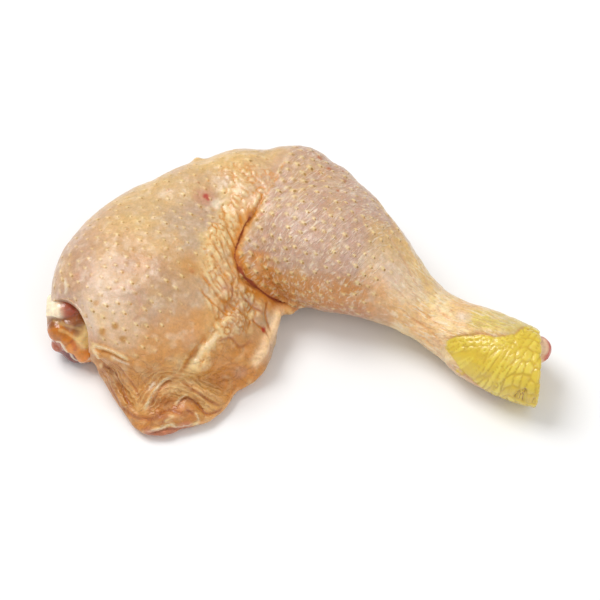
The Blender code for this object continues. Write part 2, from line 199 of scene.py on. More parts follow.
def spot_on(tree, u, v):
    """The place on a piece that shows at this point of the picture, or the nearest one beside it."""
    for ring in SEARCH_RINGS:
        for angle in SEARCH_ANGLES if ring else SEARCH_ANGLES[:1]:
            start, direction = ray_through(u + ring * math.cos(angle), v + ring * math.sin(angle))
            hit = tree.ray_cast(start, direction)[0]
            if hit is not None:
                return np.array(hit) / MM
    raise ValueError(f"nothing shows at {u}, {v}")


# Shaping helpers

def ease(x, low, high):
    t = np.clip((x - low) / (high - low), 0.0, 1.0)
    return t * t * (3 - 2 * t)


def tapered(share, length):
    """1 along a line, fading to 0 at both of its ends over this share of it."""
    return ease(share, 0.0, length) * ease(1 - share, 0.0, length)


def smooth_line(points, steps=6):
    """A smooth curve through the points."""
    points = np.array(points, float)
    padded = np.vstack([2 * points[0] - points[1], points, 2 * points[-1] - points[-2]])
    t = np.linspace(0, 1, steps, endpoint=False)[:, None]
    line = []
    for a, b, c, d in zip(padded, padded[1:], padded[2:], padded[3:]):
        bend = (2 * a - 5 * b + 4 * c - d) * t**2 + (3 * b - a - 3 * c + d) * t**3
        line.append(0.5 * (2 * b + (c - a) * t + bend))
    return np.vstack([*line, points[-1:]])


def near_line(co, line, reach):
    """The points within reach of a line: which ones, how far from it, and where along it, 0 to 1.

    A gap is below zero on the right of the line, as the picture shows it.
    """
    low, high = line.min(axis=0) - reach, line.max(axis=0) + reach
    found = np.flatnonzero(np.all((co > low) & (co < high), axis=1))
    near = co[found]
    best, gap, share = np.full(len(near), np.inf), np.zeros(len(near)), np.zeros(len(near))
    for i, (a, b) in enumerate(zip(line, line[1:])):
        offset = near - a
        along = np.clip((offset @ (b - a)) / max((b - a) @ (b - a), 1e-9), 0, 1)
        far = np.linalg.norm(offset - along[:, None] * (b - a), axis=1)
        nearer = far < best
        left = np.cross(b - a, offset[nearer]) @ to_camera >= 0
        best[nearer] = far[nearer]
        gap[nearer] = np.where(left, far[nearer], -far[nearer])
        share[nearer] = (i + along[nearer]) / (len(line) - 1)
    inside = best < reach
    return found[inside], gap[inside], share[inside]


def lattice_noise(co, size, seed):
    """Smooth noise from -1 to 1 with lumps about this many millimetres across."""
    table = np.random.default_rng(seed).uniform(-1, 1, (NOISE_TABLE,) * 3)
    scaled = co / size + NOISE_SHIFT
    base = np.floor(scaled).astype(int)
    t = scaled - base
    t = t * t * (3 - 2 * t)
    total = np.zeros(len(co))
    for step in itertools.product((0, 1), repeat=3):
        weight = np.prod(np.where(step, t, 1 - t), axis=1)
        total += weight * table[tuple(((base + step) % NOISE_TABLE).T)]
    return total


def cells(scaled, seed, spread, joint):
    """Domes over a jittered lattice of cells one unit wide, in two or three directions.

    Gives the height of each dome, 0 in the joints and 1 over most of it, and a random share for each.
    """
    size = 64 if scaled.shape[1] == 2 else 24
    rng = np.random.default_rng(seed)
    lattice = (size,) * scaled.shape[1]
    jitter = rng.uniform(-spread, spread, (*lattice, scaled.shape[1]))
    own = rng.uniform(0, 1, lattice)
    base = np.floor(scaled).astype(int)
    first, second, share = np.full(len(base), 9.0), np.full(len(base), 9.0), np.zeros(len(base))
    for step in itertools.product((-1, 0, 1), repeat=scaled.shape[1]):
        cell = base + step
        key = tuple((cell % size).T)
        gap = np.linalg.norm(cell + 0.5 + jitter[key] - scaled, axis=1)
        share = np.where(gap < first, own[key], share)
        second = np.where(gap < first, first, np.minimum(second, gap))
        first = np.minimum(first, gap)
    return ease(second - first, 0.0, joint), share


def scatter(weight, co, first, least, seed):
    """The places named first, then more chosen on the skin, no two nearer than the least gap."""
    rng = np.random.default_rng(seed)
    order = rng.permutation(np.flatnonzero(weight > 0.05))
    order = order[rng.random(len(order)) < weight[order]]
    chosen, grid = [], {}
    for number, place in enumerate([*first, *co[order]]):
        cell = np.floor(place / least).astype(int)
        near = [other for step in NEIGHBOURS for other in grid.get(tuple(cell + step), ())]
        if number < len(first) or all(np.sum((place - other) ** 2) > least**2 for other in near):
            grid.setdefault(tuple(cell), []).append(place)
            chosen.append(place)
    return np.array(chosen)


def nearest_of(co, centres):
    """For each point, the number of the nearest centre and how far it is."""
    tree = KDTree(len(centres))
    for number, centre in enumerate(centres):
        tree.insert(centre, number)
    tree.balance()
    found = [tree.find(point)[1:] for point in co]
    return np.array([f[0] for f in found]), np.array([f[1] for f in found])


# The skin: a finer copy of the leg's solid, finest where the camera sees it

SKIN_CELL = 0.66

# How far a face is turned from the camera to be on the far side, and the share of those that is kept
FAR_SIDE = -0.12
FAR_SHARE = 0.38

# How near the bone the bore's wall is, and how far to the right its mouth is
BORE_GAP = 0.8
BORE_MOUTH = 88.0


def make_skin():
    skin = copy_of_node("leg", "chicken_skin")
    close_bore(skin)
    refine(skin, SKIN_CELL, 10)
    facing = np.empty(len(skin.data.polygons) * 3, np.float32)
    skin.data.polygons.foreach_get("normal", facing)
    only(skin)
    bpy.ops.object.mode_set(mode="EDIT")
    bpy.ops.mesh.select_mode(type="FACE")
    bpy.ops.mesh.select_all(action="DESELECT")
    bpy.ops.object.mode_set(mode="OBJECT")
    skin.data.polygons.foreach_set("select", facing.reshape(-1, 3) @ to_camera < FAR_SIDE)
    bpy.ops.object.mode_set(mode="EDIT")
    bpy.ops.mesh.decimate(ratio=FAR_SHARE)
    bpy.ops.object.mode_set(mode="OBJECT")
    return skin


def close_bore(skin):
    """Takes out the bore's wall behind the hock cut and closes the skin across it."""
    bone = tree_of(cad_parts["shank_bone"])
    only(skin)
    bpy.ops.object.mode_set(mode="EDIT")
    bm = bmesh.from_edit_mesh(skin.data)
    for face in bm.faces:
        middle = face.calc_center_median()
        face.select_set(bone.find_nearest(middle)[3] < BORE_GAP * MM and middle.x < BORE_MOUTH * MM)
    bmesh.update_edit_mesh(skin.data)
    bpy.ops.mesh.delete(type="FACE")
    bpy.ops.mesh.select_all(action="DESELECT")
    bpy.ops.mesh.select_mode(type="EDGE")
    bpy.ops.mesh.select_non_manifold()
    bpy.ops.mesh.edge_face_add()
    bpy.ops.mesh.select_mode(type="VERT")
    bpy.ops.object.mode_set(mode="OBJECT")


skin = make_skin()
skin_tree = tree_of(skin)


def spot(u, v):
    return spot_on(skin_tree, u, v)


def line_on_skin(places):
    return smooth_line([spot(u, v) for u, v in places])


def near_places(co, places, reach):
    """The points within reach of the line on the skin through these places of the picture."""
    return near_line(co, line_on_skin(places), reach)


# Strokes: folds and creases, each with its height (below zero sinks), half width, colour, how strong
# the colour is, and the places it runs through. The rust and amber along the sunken strokes are partly
# the skin's own tint and partly painted shade; the cream and white along the raised ones are mostly
# painted highlight.
STROKES = (
    # The wrinkles of the knee
    (-0.55, 0.7, "amber", 0.45, ((220, 238), (226, 252), (232, 266), (236, 275))),
    (-0.55, 0.7, "amber", 0.45, ((210, 252), (218, 264), (228, 278))),
    (-0.55, 0.7, "amber", 0.45, ((202, 274), (212, 287), (221, 299), (230, 305))),
    (-0.50, 0.6, "amber", 0.45, ((226, 226), (232, 238), (236, 250))),
    (-0.45, 0.6, "amber", 0.45, ((200, 290), (212, 302), (222, 312))),
    (-0.45, 0.6, "amber", 0.45, ((235, 208), (240, 220), (242, 232))),
    (-0.45, 0.6, "amber", 0.45, ((213, 262), (222, 276), (230, 290))),
    (-0.40, 0.6, "amber", 0.45, ((212, 240), (219, 252), (224, 262))),
    (-0.40, 0.6, "amber", 0.45, ((222, 216), (228, 226), (231, 236))),
    # The pouch below the knee crease
    (-0.6, 0.6, "rust", 0.60, ((237, 274), (233, 284), (232, 297), (226, 308))),
    (-0.5, 0.5, "rust", 0.50, ((241, 278), (239, 288), (237, 298))),
    (-0.4, 0.6, "rust", 0.38, ((250, 318), (258, 325), (266, 332), (270, 348))),
    (-0.5, 0.6, "rust", 0.42, ((268, 300), (266, 310), (267, 320), (271, 334))),
    (-0.4, 0.6, "rust", 0.50, ((244, 298), (252, 306), (262, 312))),
    (-0.5, 0.6, "amber", 0.60, ((236, 308), (244, 314), (250, 320), (246, 332))),
    # The valley, chevron and peak of the apron
    (-0.35, 1.0, "amber", 0.45, ((207, 336), (201, 344), (191, 356), (184, 368), (177, 375))),
    # The ridge beside the valley, with a painted highlight in cream on its lit side.
    (0.4, 1.4, "cream", 0.50, ((219, 332), (210, 344), (200, 354), (192, 366))),
    (-0.4, 0.7, "rust", 0.35, ((219, 341), (231, 338), (240, 347), (251, 341))),
    (-0.4, 0.7, "rust", 0.45, ((183, 383), (190, 388), (197, 392), (204, 397), (211, 402), (218, 404))),
    (0.45, 0.9, "peach", 0.40, ((191, 384), (199, 389), (207, 393), (216, 397))),
    (0.6, 0.7, "cream", 0.60, ((145, 408), (149, 401), (155, 390), (163, 381), (171, 377))),
    (-0.5, 0.6, "rust", 0.45, ((149, 410), (153, 402), (158, 392), (165, 383), (173, 379))),
    (0.3, 0.6, "white", 0.50, ((150, 388), (154, 383))),
    (-0.7, 0.7, "rust", 0.75, (
        (175, 408), (181, 401), (187, 398), (195, 402), (201, 409), (207, 414), (214, 413), (221, 410),
    )),
    (0.4, 0.6, "cream", 0.50, ((176, 404), (181, 398), (186, 395))),
    (-0.4, 0.6, "rust", 0.60, ((186, 409), (190, 412), (193, 414))),
    (-0.4, 0.8, "rust", 0.60, ((158, 414), (168, 410), (176, 412), (181, 413))),
    (-0.3, 0.6, "rust", 0.45, ((162, 423), (166, 419), (171, 417))),
    (0.3, 0.5, "cream", 0.55, ((165, 421), (169, 418), (173, 416))),
    (0.25, 0.5, "cream", 0.50, ((196, 413), (198, 418), (199, 424))),
    # The apron's left edge
    (-0.6, 0.7, "rust", 0.60, ((105, 365), (115, 373), (122, 385), (126, 397), (130, 406))),
    (-0.4, 0.7, "rust", 0.30, ((112, 362), (122, 370), (130, 380), (137, 392), (144, 402))),
    (0.5, 1.0, "amber", 0.30, ((101, 362), (110, 376), (118, 390), (125, 404), (134, 414), (146, 420))),
    (-0.3, 1.0, "rust", 0.55, ((108, 384), (116, 398), (125, 410), (137, 417), (152, 419), (166, 416))),
    # Round the hip cut
    (-1.5, 2.8, "lilac", 0.25, ((52, 301), (63, 299), (73, 303), (83.5, 315), (88.5, 330), (91, 344))),
    (0.8, 0.8, "cream", 0.75, ((94, 345), (104, 348), (114, 352), (126, 359))),
    (-0.6, 0.8, "amber", 0.50, ((98, 350), (108, 352), (118, 357), (127, 363))),
    (0.3, 0.6, "white", 0.40, ((112, 357), (120, 361), (128, 364))),
    (0.7, 0.8, "cream", 0.60, ((92, 348), (98, 357), (101, 366))),
    # The rolled lip at the apron's lowest edge, and its right side
    (-0.9, 0.7, "rust", 0.60, ((147, 434), (157, 432), (166, 429), (176, 429), (184, 428), (192, 427))),
    (0.5, 0.8, "cream", 0.85, (
        (144, 432), (154, 430), (162, 428), (170, 424), (176, 427), (184, 426), (197, 423),
    )),
    (0.3, 0.8, "peach", 0.60, ((200, 423), (209, 420), (216, 416), (222, 411), (230, 402), (238, 389))),
    (0.2, 2.0, "lip_red", 0.85, ((148, 437), (160, 436), (172, 434), (182, 432), (190, 429))),
    (1.0, 1.8, "peach_light", 0.60, ((283, 303), (278, 316), (272, 331), (266, 345), (257, 360))),
    # The shank and its tendon
    (-0.30, 0.5, "peach", 0.50, ((404, 313), (418, 322), (430, 331), (444, 345))),
    (-0.25, 0.5, "peach", 0.50, ((412, 306), (428, 316), (440, 326), (452, 336))),
    (-0.25, 0.5, "peach", 0.50, ((420, 302), (438, 312), (450, 318))),
    (-0.25, 0.5, "peach", 0.50, ((398, 318), (414, 330), (428, 342), (440, 354))),
    (-0.20, 0.5, "peach", 0.40, ((436, 306), (448, 318), (462, 326), (474, 328))),
    (0.30, 1.5, "straw", 0.45, ((384, 200), (400, 232), (416, 262), (430, 288))),
    (-0.20, 0.7, "rose", 0.25, ((376, 206), (392, 238), (408, 268), (420, 290))),
    # The hock
    (-0.35, 0.7, "ochre", 0.55, (
        (447, 339), (457, 336), (471, 335), (483, 333), (493, 336), (504, 336), (514, 336), (519, 331),
        (524, 327),
    )),
    (-0.4, 0.7, "ochre", 0.50, ((461, 368), (466, 376), (475, 383), (482, 389), (488, 393))),
    # The hock's slits, darkened with painted shade.
    (-1.3, 0.95, "slit_shade", 1.0, ((514, 398), (517, 394), (520, 391))),
    (-1.3, 0.90, "slit_shade", 1.0, ((522.5, 402), (524, 396), (526, 388))),
    (-0.7, 0.70, "rust", 0.9, ((532, 404), (533, 401), (535, 398))),
    # The back of the thigh
    (0.25, 0.8, "white", 0.45, ((65, 280), (66, 288), (63, 296))),
)

# Ledges, where one skin lies over another: height and reach on the left of the line and on its right
LEDGES = {
    "thigh_over_calf": (-1.3, 1.5, 0.45, 2.6, (
        (262, 189), (259, 199), (252, 212), (244, 226), (238, 240), (234.5, 256),
    )),
    "calf_over_pouch": (0.45, 2.6, -1.5, 1.7, (
        (236, 260), (239, 267), (245, 277), (256, 286), (270, 296), (284, 302), (297, 307),
    )),
    "knee_skin_edge": (-0.30, 1.2, 0.25, 1.6, ((289, 157), (280, 168), (274, 181), (266, 192), (262, 200))),
}
CALF_EDGE = (
    (290, 150), (280, 168), (272, 183), (262, 200), (252, 212), (244, 226), (238, 240), (234.5, 254),
    (238, 266), (245, 277), (256, 286), (270, 296), (284, 302), (297, 307),
)
CREASE_LINES = {
    "upper": (0.40, ((251, 215), (247, 221), (243, 229), (238, 241), (234.5, 255), (237, 264), (241, 271))),
    "lower": (0.60, ((235.5, 259), (237, 264), (245, 277), (256, 286), (270, 296), (284, 302), (297, 307))),
}

# How near the crease the skin is smoothed first, how far from it the thin dark line shows, and how often
# the skin is smoothed there and on the hock between its start and its cut
CREASE_REST = 9.0
CREASE_REACH = 4.0
CREASE_ROUNDS = 50
HOCK_ROUNDS = 25
HOCK_START = (-2.0, 3.0)
HOCK_END = (90.5, 92.0)

# Lines that the fine wrinkles of the apron run along, and how far from them they reach
WRINKLE_SWEEPS = (
    (
        (138, 414), (146, 404), (153, 393), (161, 384), (168, 380), (177, 381), (188, 386), (200, 392),
        (213, 400), (226, 409),
    ),
    ((104, 364), (111, 376), (118, 388), (126, 400), (133, 410)),
)
SWEEP_REACH = 9.0

# How far from its middle a stroke's thin line can show, and how much painted shade darkens it; below
# zero, painted highlight lightens it
LINE_REACH = 2.4
LINE_SHADES = {"rust": 0.9, "slit_shade": 1.0, "amber": 0.45, "ochre": 0.3, "cream": -0.7, "white": -1.0}

# Lone lumps: place, half width, height, colour and its strength
LUMPS = (
    (195, 158, 1.8, 0.8, "straw", 0.3), (244, 287, 1.7, 0.6, "ochre", 0.3),
    (252, 296, 1.7, 0.7, "cream", 0.5), (243, 304, 1.6, 0.6, "cream", 0.5),
    (250, 316, 1.7, 0.6, "cream", 0.6), (259, 302, 1.5, 0.5, "ochre", 0.3),
    (258, 289, 1.4, 0.5, "ochre", 0.2), (228, 318, 1.8, 0.7, "cream", 0.5),
    (236, 330, 2.0, 0.5, "cream", 0.4), (224, 322, 1.5, 0.6, "cream", 0.5),
    (262, 318, 1.6, 0.4, "ochre", 0.3), (290, 311, 2.3, 2.6, "cream", 0.9),
    (297, 312, 1.2, 0.4, "peach", 0.4), (218, 326, 1.5, 0.6, "cream", 0.6),
    (250, 330, 2.2, 0.4, "cream", 0.3), (201, 347, 1.7, 0.4, "cream", 0.6),
    (193, 361, 1.5, 0.4, "cream", 0.5), (458, 371, 1.2, 0.6, "hock", 0.9),
    (462, 374, 1.1, 0.6, "hock", 0.9), (455, 366, 1.0, 0.4, "ochre", 0.6),
    (451, 311, 0.9, 0.2, "amber", 0.7), (463, 317, 1.6, 0.25, "pale", 0.7),
    (440, 303, 1.1, 0.2, "amber", 0.4),
)

# Feather follicles of each region: least gap between two, half width and height of a dome, how clear the
# clearest is, the ones that the picture shows, and the seed of the rest
CALF_FOLLICLES = (
    (303, 173), (317, 192), (289, 205), (287, 214), (336, 202), (354, 201), (325, 209), (352, 212),
    (324, 222), (342, 219), (366, 226), (288, 227), (304, 223), (356, 230), (345, 235), (334, 237),
    (322, 241), (306, 240), (264, 240), (280, 239), (295, 247), (348, 248), (359, 245), (370, 242),
    (316, 254), (334, 252), (286, 260), (302, 262), (268, 258), (339, 262), (356, 266), (266, 268),
    (278, 272), (292, 273), (315, 272), (326, 267), (339, 278), (349, 275), (305, 279), (285, 282),
    (297, 285), (328, 282), (358, 283),
)
THIGH_FOLLICLES = (
    (176, 226), (176, 239), (158, 208), (159, 232), (143, 218), (138, 221), (140, 240), (111, 224),
    (126, 229), (117, 244), (132, 249), (111, 258), (127, 257), (126, 265), (122, 272), (101, 295),
    (92, 275), (87.5, 287), (102, 277), (103, 317), (84, 316), (215, 186), (168, 190), (198, 182),
    (191, 214), (184, 228),
)
FOLLICLES = {
    "calf": (3.9, 0.82, 0.55, 0.80, CALF_FOLLICLES, 21),
    "thigh": (4.0, 0.80, 0.32, 0.60, THIGH_FOLLICLES, 22),
}
FEATHER_LEAN = (0.78, -0.55, -0.30)

# Bands of pebbled skin: line of places, half width, length, width and height of a pebble
PEBBLES = {
    "knee": (((248, 192), (238, 214), (226, 240), (219, 262), (222, 286), (230, 306)), 8.5, 5.0, 2.6, 0.70),
    "knee_top": (((232, 172), (248, 172), (264, 178)), 5.5, 4.2, 2.0, 0.45),
    "pouch": (((248, 290), (246, 306), (238, 322), (226, 334)), 6.0, 3.0, 2.3, 0.80),
    "valley_side": (((224, 322), (212, 340), (198, 358)), 4.0, 3.2, 2.2, 0.50),
}
PEBBLE_LEAN = (0.43, -0.75, -0.5)

# Where the knee is, and where the thin skin before the thigh starts, forwards, to the right and upwards
KNEE = (-17.0, 14.0, 24.0)
APRON_FRONT = (20.0, 36.0)
APRON_RIGHT = (-16.0, -6.0)
APRON_TOP = (22.0, 33.0)

# The skin left of here can be the rim of the hip cut
HIP_END = -74.0

# How far the calf's edge says where the calf begins, where this fades on the unseen side, and how near
# the edge the domes are bigger
CALF_EDGE_REACH = 85.0
CALF_EDGE_FADE = (18.0, 42.0)
BIG_DOME_REACH = 15.0
BIG_DOME = 1.5

# Where the regions begin and end, down the leg from the knee or along the hock
PAST_KNEE = (-1.0, 11.0)
CALF_END = (44.0, 60.0)
THIGH_START = (8.0, 18.0)
SHANK_START = (50.0, 66.0)
SHANK_END = (20.0, 26.0)

# The hock's axis, and the edges of its scaled skin in degrees round the hock at lengths along it
HOCK_AXIS = ((60.7, -18.06, 14.5), (96.7, -39.06, 14.0))
SCALES_TOP = (
    (3.3, 35.0), (6.5, 50.0), (11.5, 61.0), (15.5, 70.0), (19.3, 74.0), (23.0, 82.0), (26.4, 95.0),
    (27.6, 118.0), (29.0, 200.0),
)
SCALES_LEFT = (
    (-100.0, 33.0), (-40.0, 30.0), (-15.5, 22.5), (-7.4, 19.9), (-1.0, 16.5), (2.0, 13.5), (11.0, 10.5),
    (21.0, 3.8), (60.0, 3.0),
)

# Width of the scales and how far they lean, at lengths along the hock
SCALE_WIDTHS = ((0.0, 1.9), (12.0, 2.1), (24.0, 2.7), (36.0, 3.6), (50.0, 3.6))
SCALE_LEANS = ((0.0, 0.15), (18.0, 0.15), (29.0, 0.02), (40.0, -0.03))
SMALL_SCALES = (26.0, 9.0)
SCALE_HEIGHT = 0.42


def bend(x, table):
    """The value at x of a line through a table of pairs."""
    return np.interp(x, *zip(*table))


def leg_masks(co, seen):
    """How far each point is in each region of the leg, 0 to 1."""
    knee, hock = np.array(KNEE), np.array(HOCK_AXIS[1])
    axis = (hock - knee) / np.linalg.norm(hock - knee)
    down_leg = (co - knee) @ axis
    along, turn = hock_frame(co)
    past_border = bend(along, SCALES_TOP) - turn
    past_left = along - bend(turn, SCALES_LEFT)
    right, front, up = co.T
    apron = ease(-front, *APRON_FRONT) * (1 - ease(right, *APRON_RIGHT)) * (1 - ease(up, *APRON_TOP))
    found, gap, share = near_places(co, CALF_EDGE, CALF_EDGE_REACH)
    past_knee = ease(down_leg, *PAST_KNEE)
    unseen = (1 - ease(np.abs(gap), *CALF_EDGE_FADE)) * ease(share, 0.0, 0.1)
    near_edge = np.maximum(unseen, seen[found])
    past_knee[found] += (ease(gap, -1.0, 2.0) - past_knee[found]) * near_edge
    scaled = ease(past_border, -2.5, 2.5) * ease(past_left, -0.8, 0.8)
    return {
        "calf": past_knee * (1 - ease(down_leg, *CALF_END)),
        "thigh": ease(-down_leg, *THIGH_START) * (1 - apron),
        "shank": ease(down_leg, *SHANK_START) * (1 - ease(along, *SHANK_END)) * (1 - scaled),
        "scaled": scaled,
        "apron": apron,
    }


def hock_frame(co):
    """How far along the hock each point is, and how far round it in degrees from its front side."""
    start, end = np.array(HOCK_AXIS)
    axis = (end - start) / np.linalg.norm(end - start)
    across = np.cross(axis, (0.0, 0.0, 1.0))
    across /= np.linalg.norm(across)
    upward = np.cross(across, axis)
    offset = co - start
    return offset @ axis, np.degrees(np.arctan2(offset @ upward, offset @ across))


def hock_scales(co, masks):
    """Small scales along the upper border, and long ones side by side down the front of the hock."""
    along, turn = hock_frame(co)
    stations = np.linspace(-5.0, 55.0, 121)
    counts = np.cumsum((stations[1] - stations[0]) / bend(stations, SCALE_WIDTHS))
    straight = along - bend(along, SCALE_LEANS) * turn
    below = bend(along, SCALES_TOP) - turn
    zone, small = SMALL_SCALES
    long = 44.0 - 22.0 * ease(along, 18.0, 34.0)
    rows = np.where(below < zone, below / small, zone / small + (below - zone) / long)
    plate, share = cells(np.c_[np.interp(straight, stations, counts), rows], 7, 0.24, 0.30)
    smooth_part = ease(along, 6.0, 10.0) * (1 - ease(along, 15.0, 22.0)) * ease(below, 24.0, 34.0)
    clear = 1 - 0.75 * smooth_part
    masks["plates"], masks["plate_share"] = plate, share
    masks["joints"] = (1 - plate) * masks["scaled"] * clear
    return SCALE_HEIGHT * (plate - 0.6) * masks["scaled"] * clear * (0.7 + 0.6 * share)


def folds(co):
    height = np.zeros(len(co))
    for depth, width, _, _, places in STROKES:
        found, gap, share = near_places(co, places, 2.6 * width)
        ends = tapered(share, 0.18)
        height[found] += depth * np.exp(-((gap / width) ** 2)) * ends
    for left, left_reach, right, right_reach, places in LEDGES.values():
        found, gap, share = near_places(co, places, 2.2 * max(left_reach, right_reach))
        ends = tapered(share, 0.2)
        on_left = left * np.exp(-((gap / left_reach) ** 2))
        on_right = right * np.exp(-((gap / right_reach) ** 2))
        height[found] += (on_right + (on_left - on_right) * ease(gap, -0.35, 0.35)) * ends
    for u, v, width, rise, *_ in LUMPS:
        height += rise * np.exp(-np.sum((co - spot(u, v)) ** 2, axis=1) / width**2)
    return height


def pebbles(co, masks, seen):
    """The pebbled bands, and in the masks where they are and how deep a point lies between two pebbles."""
    height, band, between = np.zeros(len(co)), np.zeros(len(co)), np.zeros(len(co))
    lean = np.array(PEBBLE_LEAN) / np.linalg.norm(PEBBLE_LEAN)
    across = np.cross(lean, (0.0, 0.0, 1.0))
    across /= np.linalg.norm(across)
    for number, (places, half, long, wide, rise) in enumerate(PEBBLES.values()):
        found, gap, _ = near_places(co, places, 1.5 * half)
        near = co[found] + 0.8 * np.stack([lattice_noise(co[found], 5.0, 60 + k) for k in range(3)], axis=1)
        deep = np.cross(lean, across)
        scaled = np.stack([near @ lean / long, near @ across / wide, near @ deep / wide], axis=1)
        dome, own = cells(scaled, 40 + number, 0.40, 0.75)
        inside = (1 - ease(np.abs(gap), 0.6 * half, 1.4 * half)) * seen[found]
        height[found] += rise * (dome - 0.5) * (0.4 + own) * inside
        band[found] = np.maximum(band[found], inside)
        between[found] = np.maximum(between[found], inside * (1 - dome) * (0.3 + 0.7 * own))
    masks["pebbles"], masks["between"] = band, between
    return height


def hip_rim(co, masks):
    """The thin uneven edge of the skin where it lies on the flesh of the hip."""
    flesh = tree_of(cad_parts["hip_flesh"])
    rim = np.zeros(len(co))
    for i in np.flatnonzero(co[:, 0] < HIP_END):
        rim[i] = flesh.find_nearest(Vector(co[i]) * MM)[3] / MM
    rim = np.where(co[:, 0] < HIP_END, 1 - ease(rim, 1.0, 3.0), 0.0)
    masks["rim"] = rim
    return rim * (0.25 + 0.6 * lattice_noise(co, 3.2, 15))


def ridges(co, size, seed):
    """Noise with thin crests where it passes zero."""
    return 1 - 2 * np.abs(lattice_noise(co, size, seed))


def ripples(co, masks):
    """The uneven sag of the whole skin, with more crumples in the thin skin before the thigh."""
    low = 0.28 * lattice_noise(co, 9.0, 3) + 0.12 * lattice_noise(co, 3.6, 4)
    low += 0.05 * lattice_noise(co, 1.7, 8)
    loose = 0.22 * ridges(co * (1, 1, 0.6), 6.5, 5) + 0.14 * lattice_noise(co, 2.2, 6)
    flaky = 0.16 * ridges(co * (0.6, 1, 1), 2.4, 9)
    bare = 1 - masks["scaled"]
    return low * bare + loose * masks["apron"] + flaky * masks["shank"] * bare


def follicles(co, masks):
    """Domes that lean the way the feathers grew, with a pore under the tip.

    The masks get each point's place within its dome, along and beside, and how clear the dome is.
    """
    height, feather = np.zeros(len(co)), np.zeros((len(co), 3))
    normals = normals_of(skin)
    seen = 0.35 + 0.65 * ease(normals @ to_camera, 0.1, 0.6)
    lean = np.array(FEATHER_LEAN) / np.linalg.norm(FEATHER_LEAN)
    across = np.cross(lean, normals)
    across /= np.maximum(np.linalg.norm(across, axis=1), 0.2)[:, None]
    for name, (least, width, rise, clear, shown, seed) in FOLLICLES.items():
        first = [spot(u, v) for u, v in shown]
        centres = scatter(masks[name], co, first, least, seed)
        rng = np.random.default_rng(seed)
        size = rng.uniform(0.70, 1.25, len(centres)) * width
        size[near_places(centres, CALF_EDGE, BIG_DOME_REACH)[0]] *= BIG_DOME
        lift = rng.uniform(0.5, 1.1, len(centres)) * rise
        number, gap = nearest_of(co, centres)
        offset = co - centres[number]
        along = offset @ lean / size[number]
        beside = (gap / size[number]) ** 2 - along**2
        here = ease(masks[name], 0.0, 0.25)
        form = np.exp(-np.where(along > 0, 1.7 * along**2, 0.55 * along**2) - beside) * here
        height += form * lift[number] * seen
        height -= 0.22 * np.exp(-5.0 * ((along - 0.9) ** 2 + beside)) * here
        own = clear * rng.uniform(0.35, 1.0, len(centres))[number]
        shown_here = own * (1 - ease(gap, 1.5, 1.9)) * ease(masks[name], 0.1, 0.5)
        side = np.sum(offset * across, axis=1) / size[number]
        taken = shown_here > feather[:, 2]
        feather[taken] = np.stack([along, side, shown_here], axis=1)[taken]
    masks["feather"] = feather
    return height


def shape_skin():
    """Raises the folds, pebbles, follicles and scales, and gives the masks that the paint follows."""
    co = points_of(skin)
    seen = ease(normals_of(skin) @ to_camera, 0.0, 0.3)
    masks = leg_masks(co, seen)
    soft = softened(skin, co, CREASE_ROUNDS)
    co = co + (soft - co) * near_crease(co)[:, None]
    soft = softened(skin, co, HOCK_ROUNDS)
    on_hock = ease(hock_frame(co)[0], *HOCK_START) * (1 - ease(co[:, 0], *HOCK_END))
    co = co + (soft - co) * on_hock[:, None]
    set_points(skin, co)
    height = pebbles(co, masks, seen)
    for region in FOLLICLES:
        masks[region] *= 1 - 0.8 * masks["pebbles"]
    rise = folds(co)
    for form in (ripples, hock_scales, follicles, hip_rim):
        rise += form(co, masks)
    raise_surface(skin, height + rise)
    return masks


def stroke_marks(co):
    """Each point's gap to the nearest stroke in half widths, and its painted shade there, below zero a
    painted highlight.
    """
    marks, nearest = np.zeros((len(co), 3)), np.full(len(co), LINE_REACH)
    for _, width, name, strength, places in STROKES:
        if name not in LINE_SHADES:
            continue
        found, gap, share = near_places(co, places, LINE_REACH * width)
        gap = gap / width
        ends = tapered(share, 0.12) * ease(LINE_REACH - np.abs(gap), 0.0, 0.8)
        nearer = np.abs(gap) < nearest[found]
        place = found[nearer]
        nearest[place] = np.abs(gap[nearer])
        marks[place, 0] = gap[nearer]
        marks[place, 1] = (LINE_SHADES[name] * strength * ends)[nearer]
    return marks


def line_marks(co, lines, reach, fade, taper):
    """Each point's gap to the clearest of these lines in the line's own unit, and how clear it is there."""
    marks = np.zeros((len(co), 3))
    for unit, places in lines:
        found, gap, share = near_places(co, places, reach)
        clear = tapered(share, taper) * ease(reach - np.abs(gap), 0.0, fade)
        nearer = clear > marks[found, 1]
        marks[found[nearer]] = np.stack([gap / unit, clear, clear], axis=1)[nearer]
    return marks


def near_crease(co):
    """1 at the knee crease, fading to 0 away from it."""
    mask = np.zeros(len(co))
    for _, places in CREASE_LINES.values():
        found, gap, _ = near_places(co, places, CREASE_REST)
        mask[found] = np.maximum(mask[found], 1 - ease(np.abs(gap), 0.5 * CREASE_REST, CREASE_REST))
    return mask


# Painting. Colours are display values, 0 to 255.

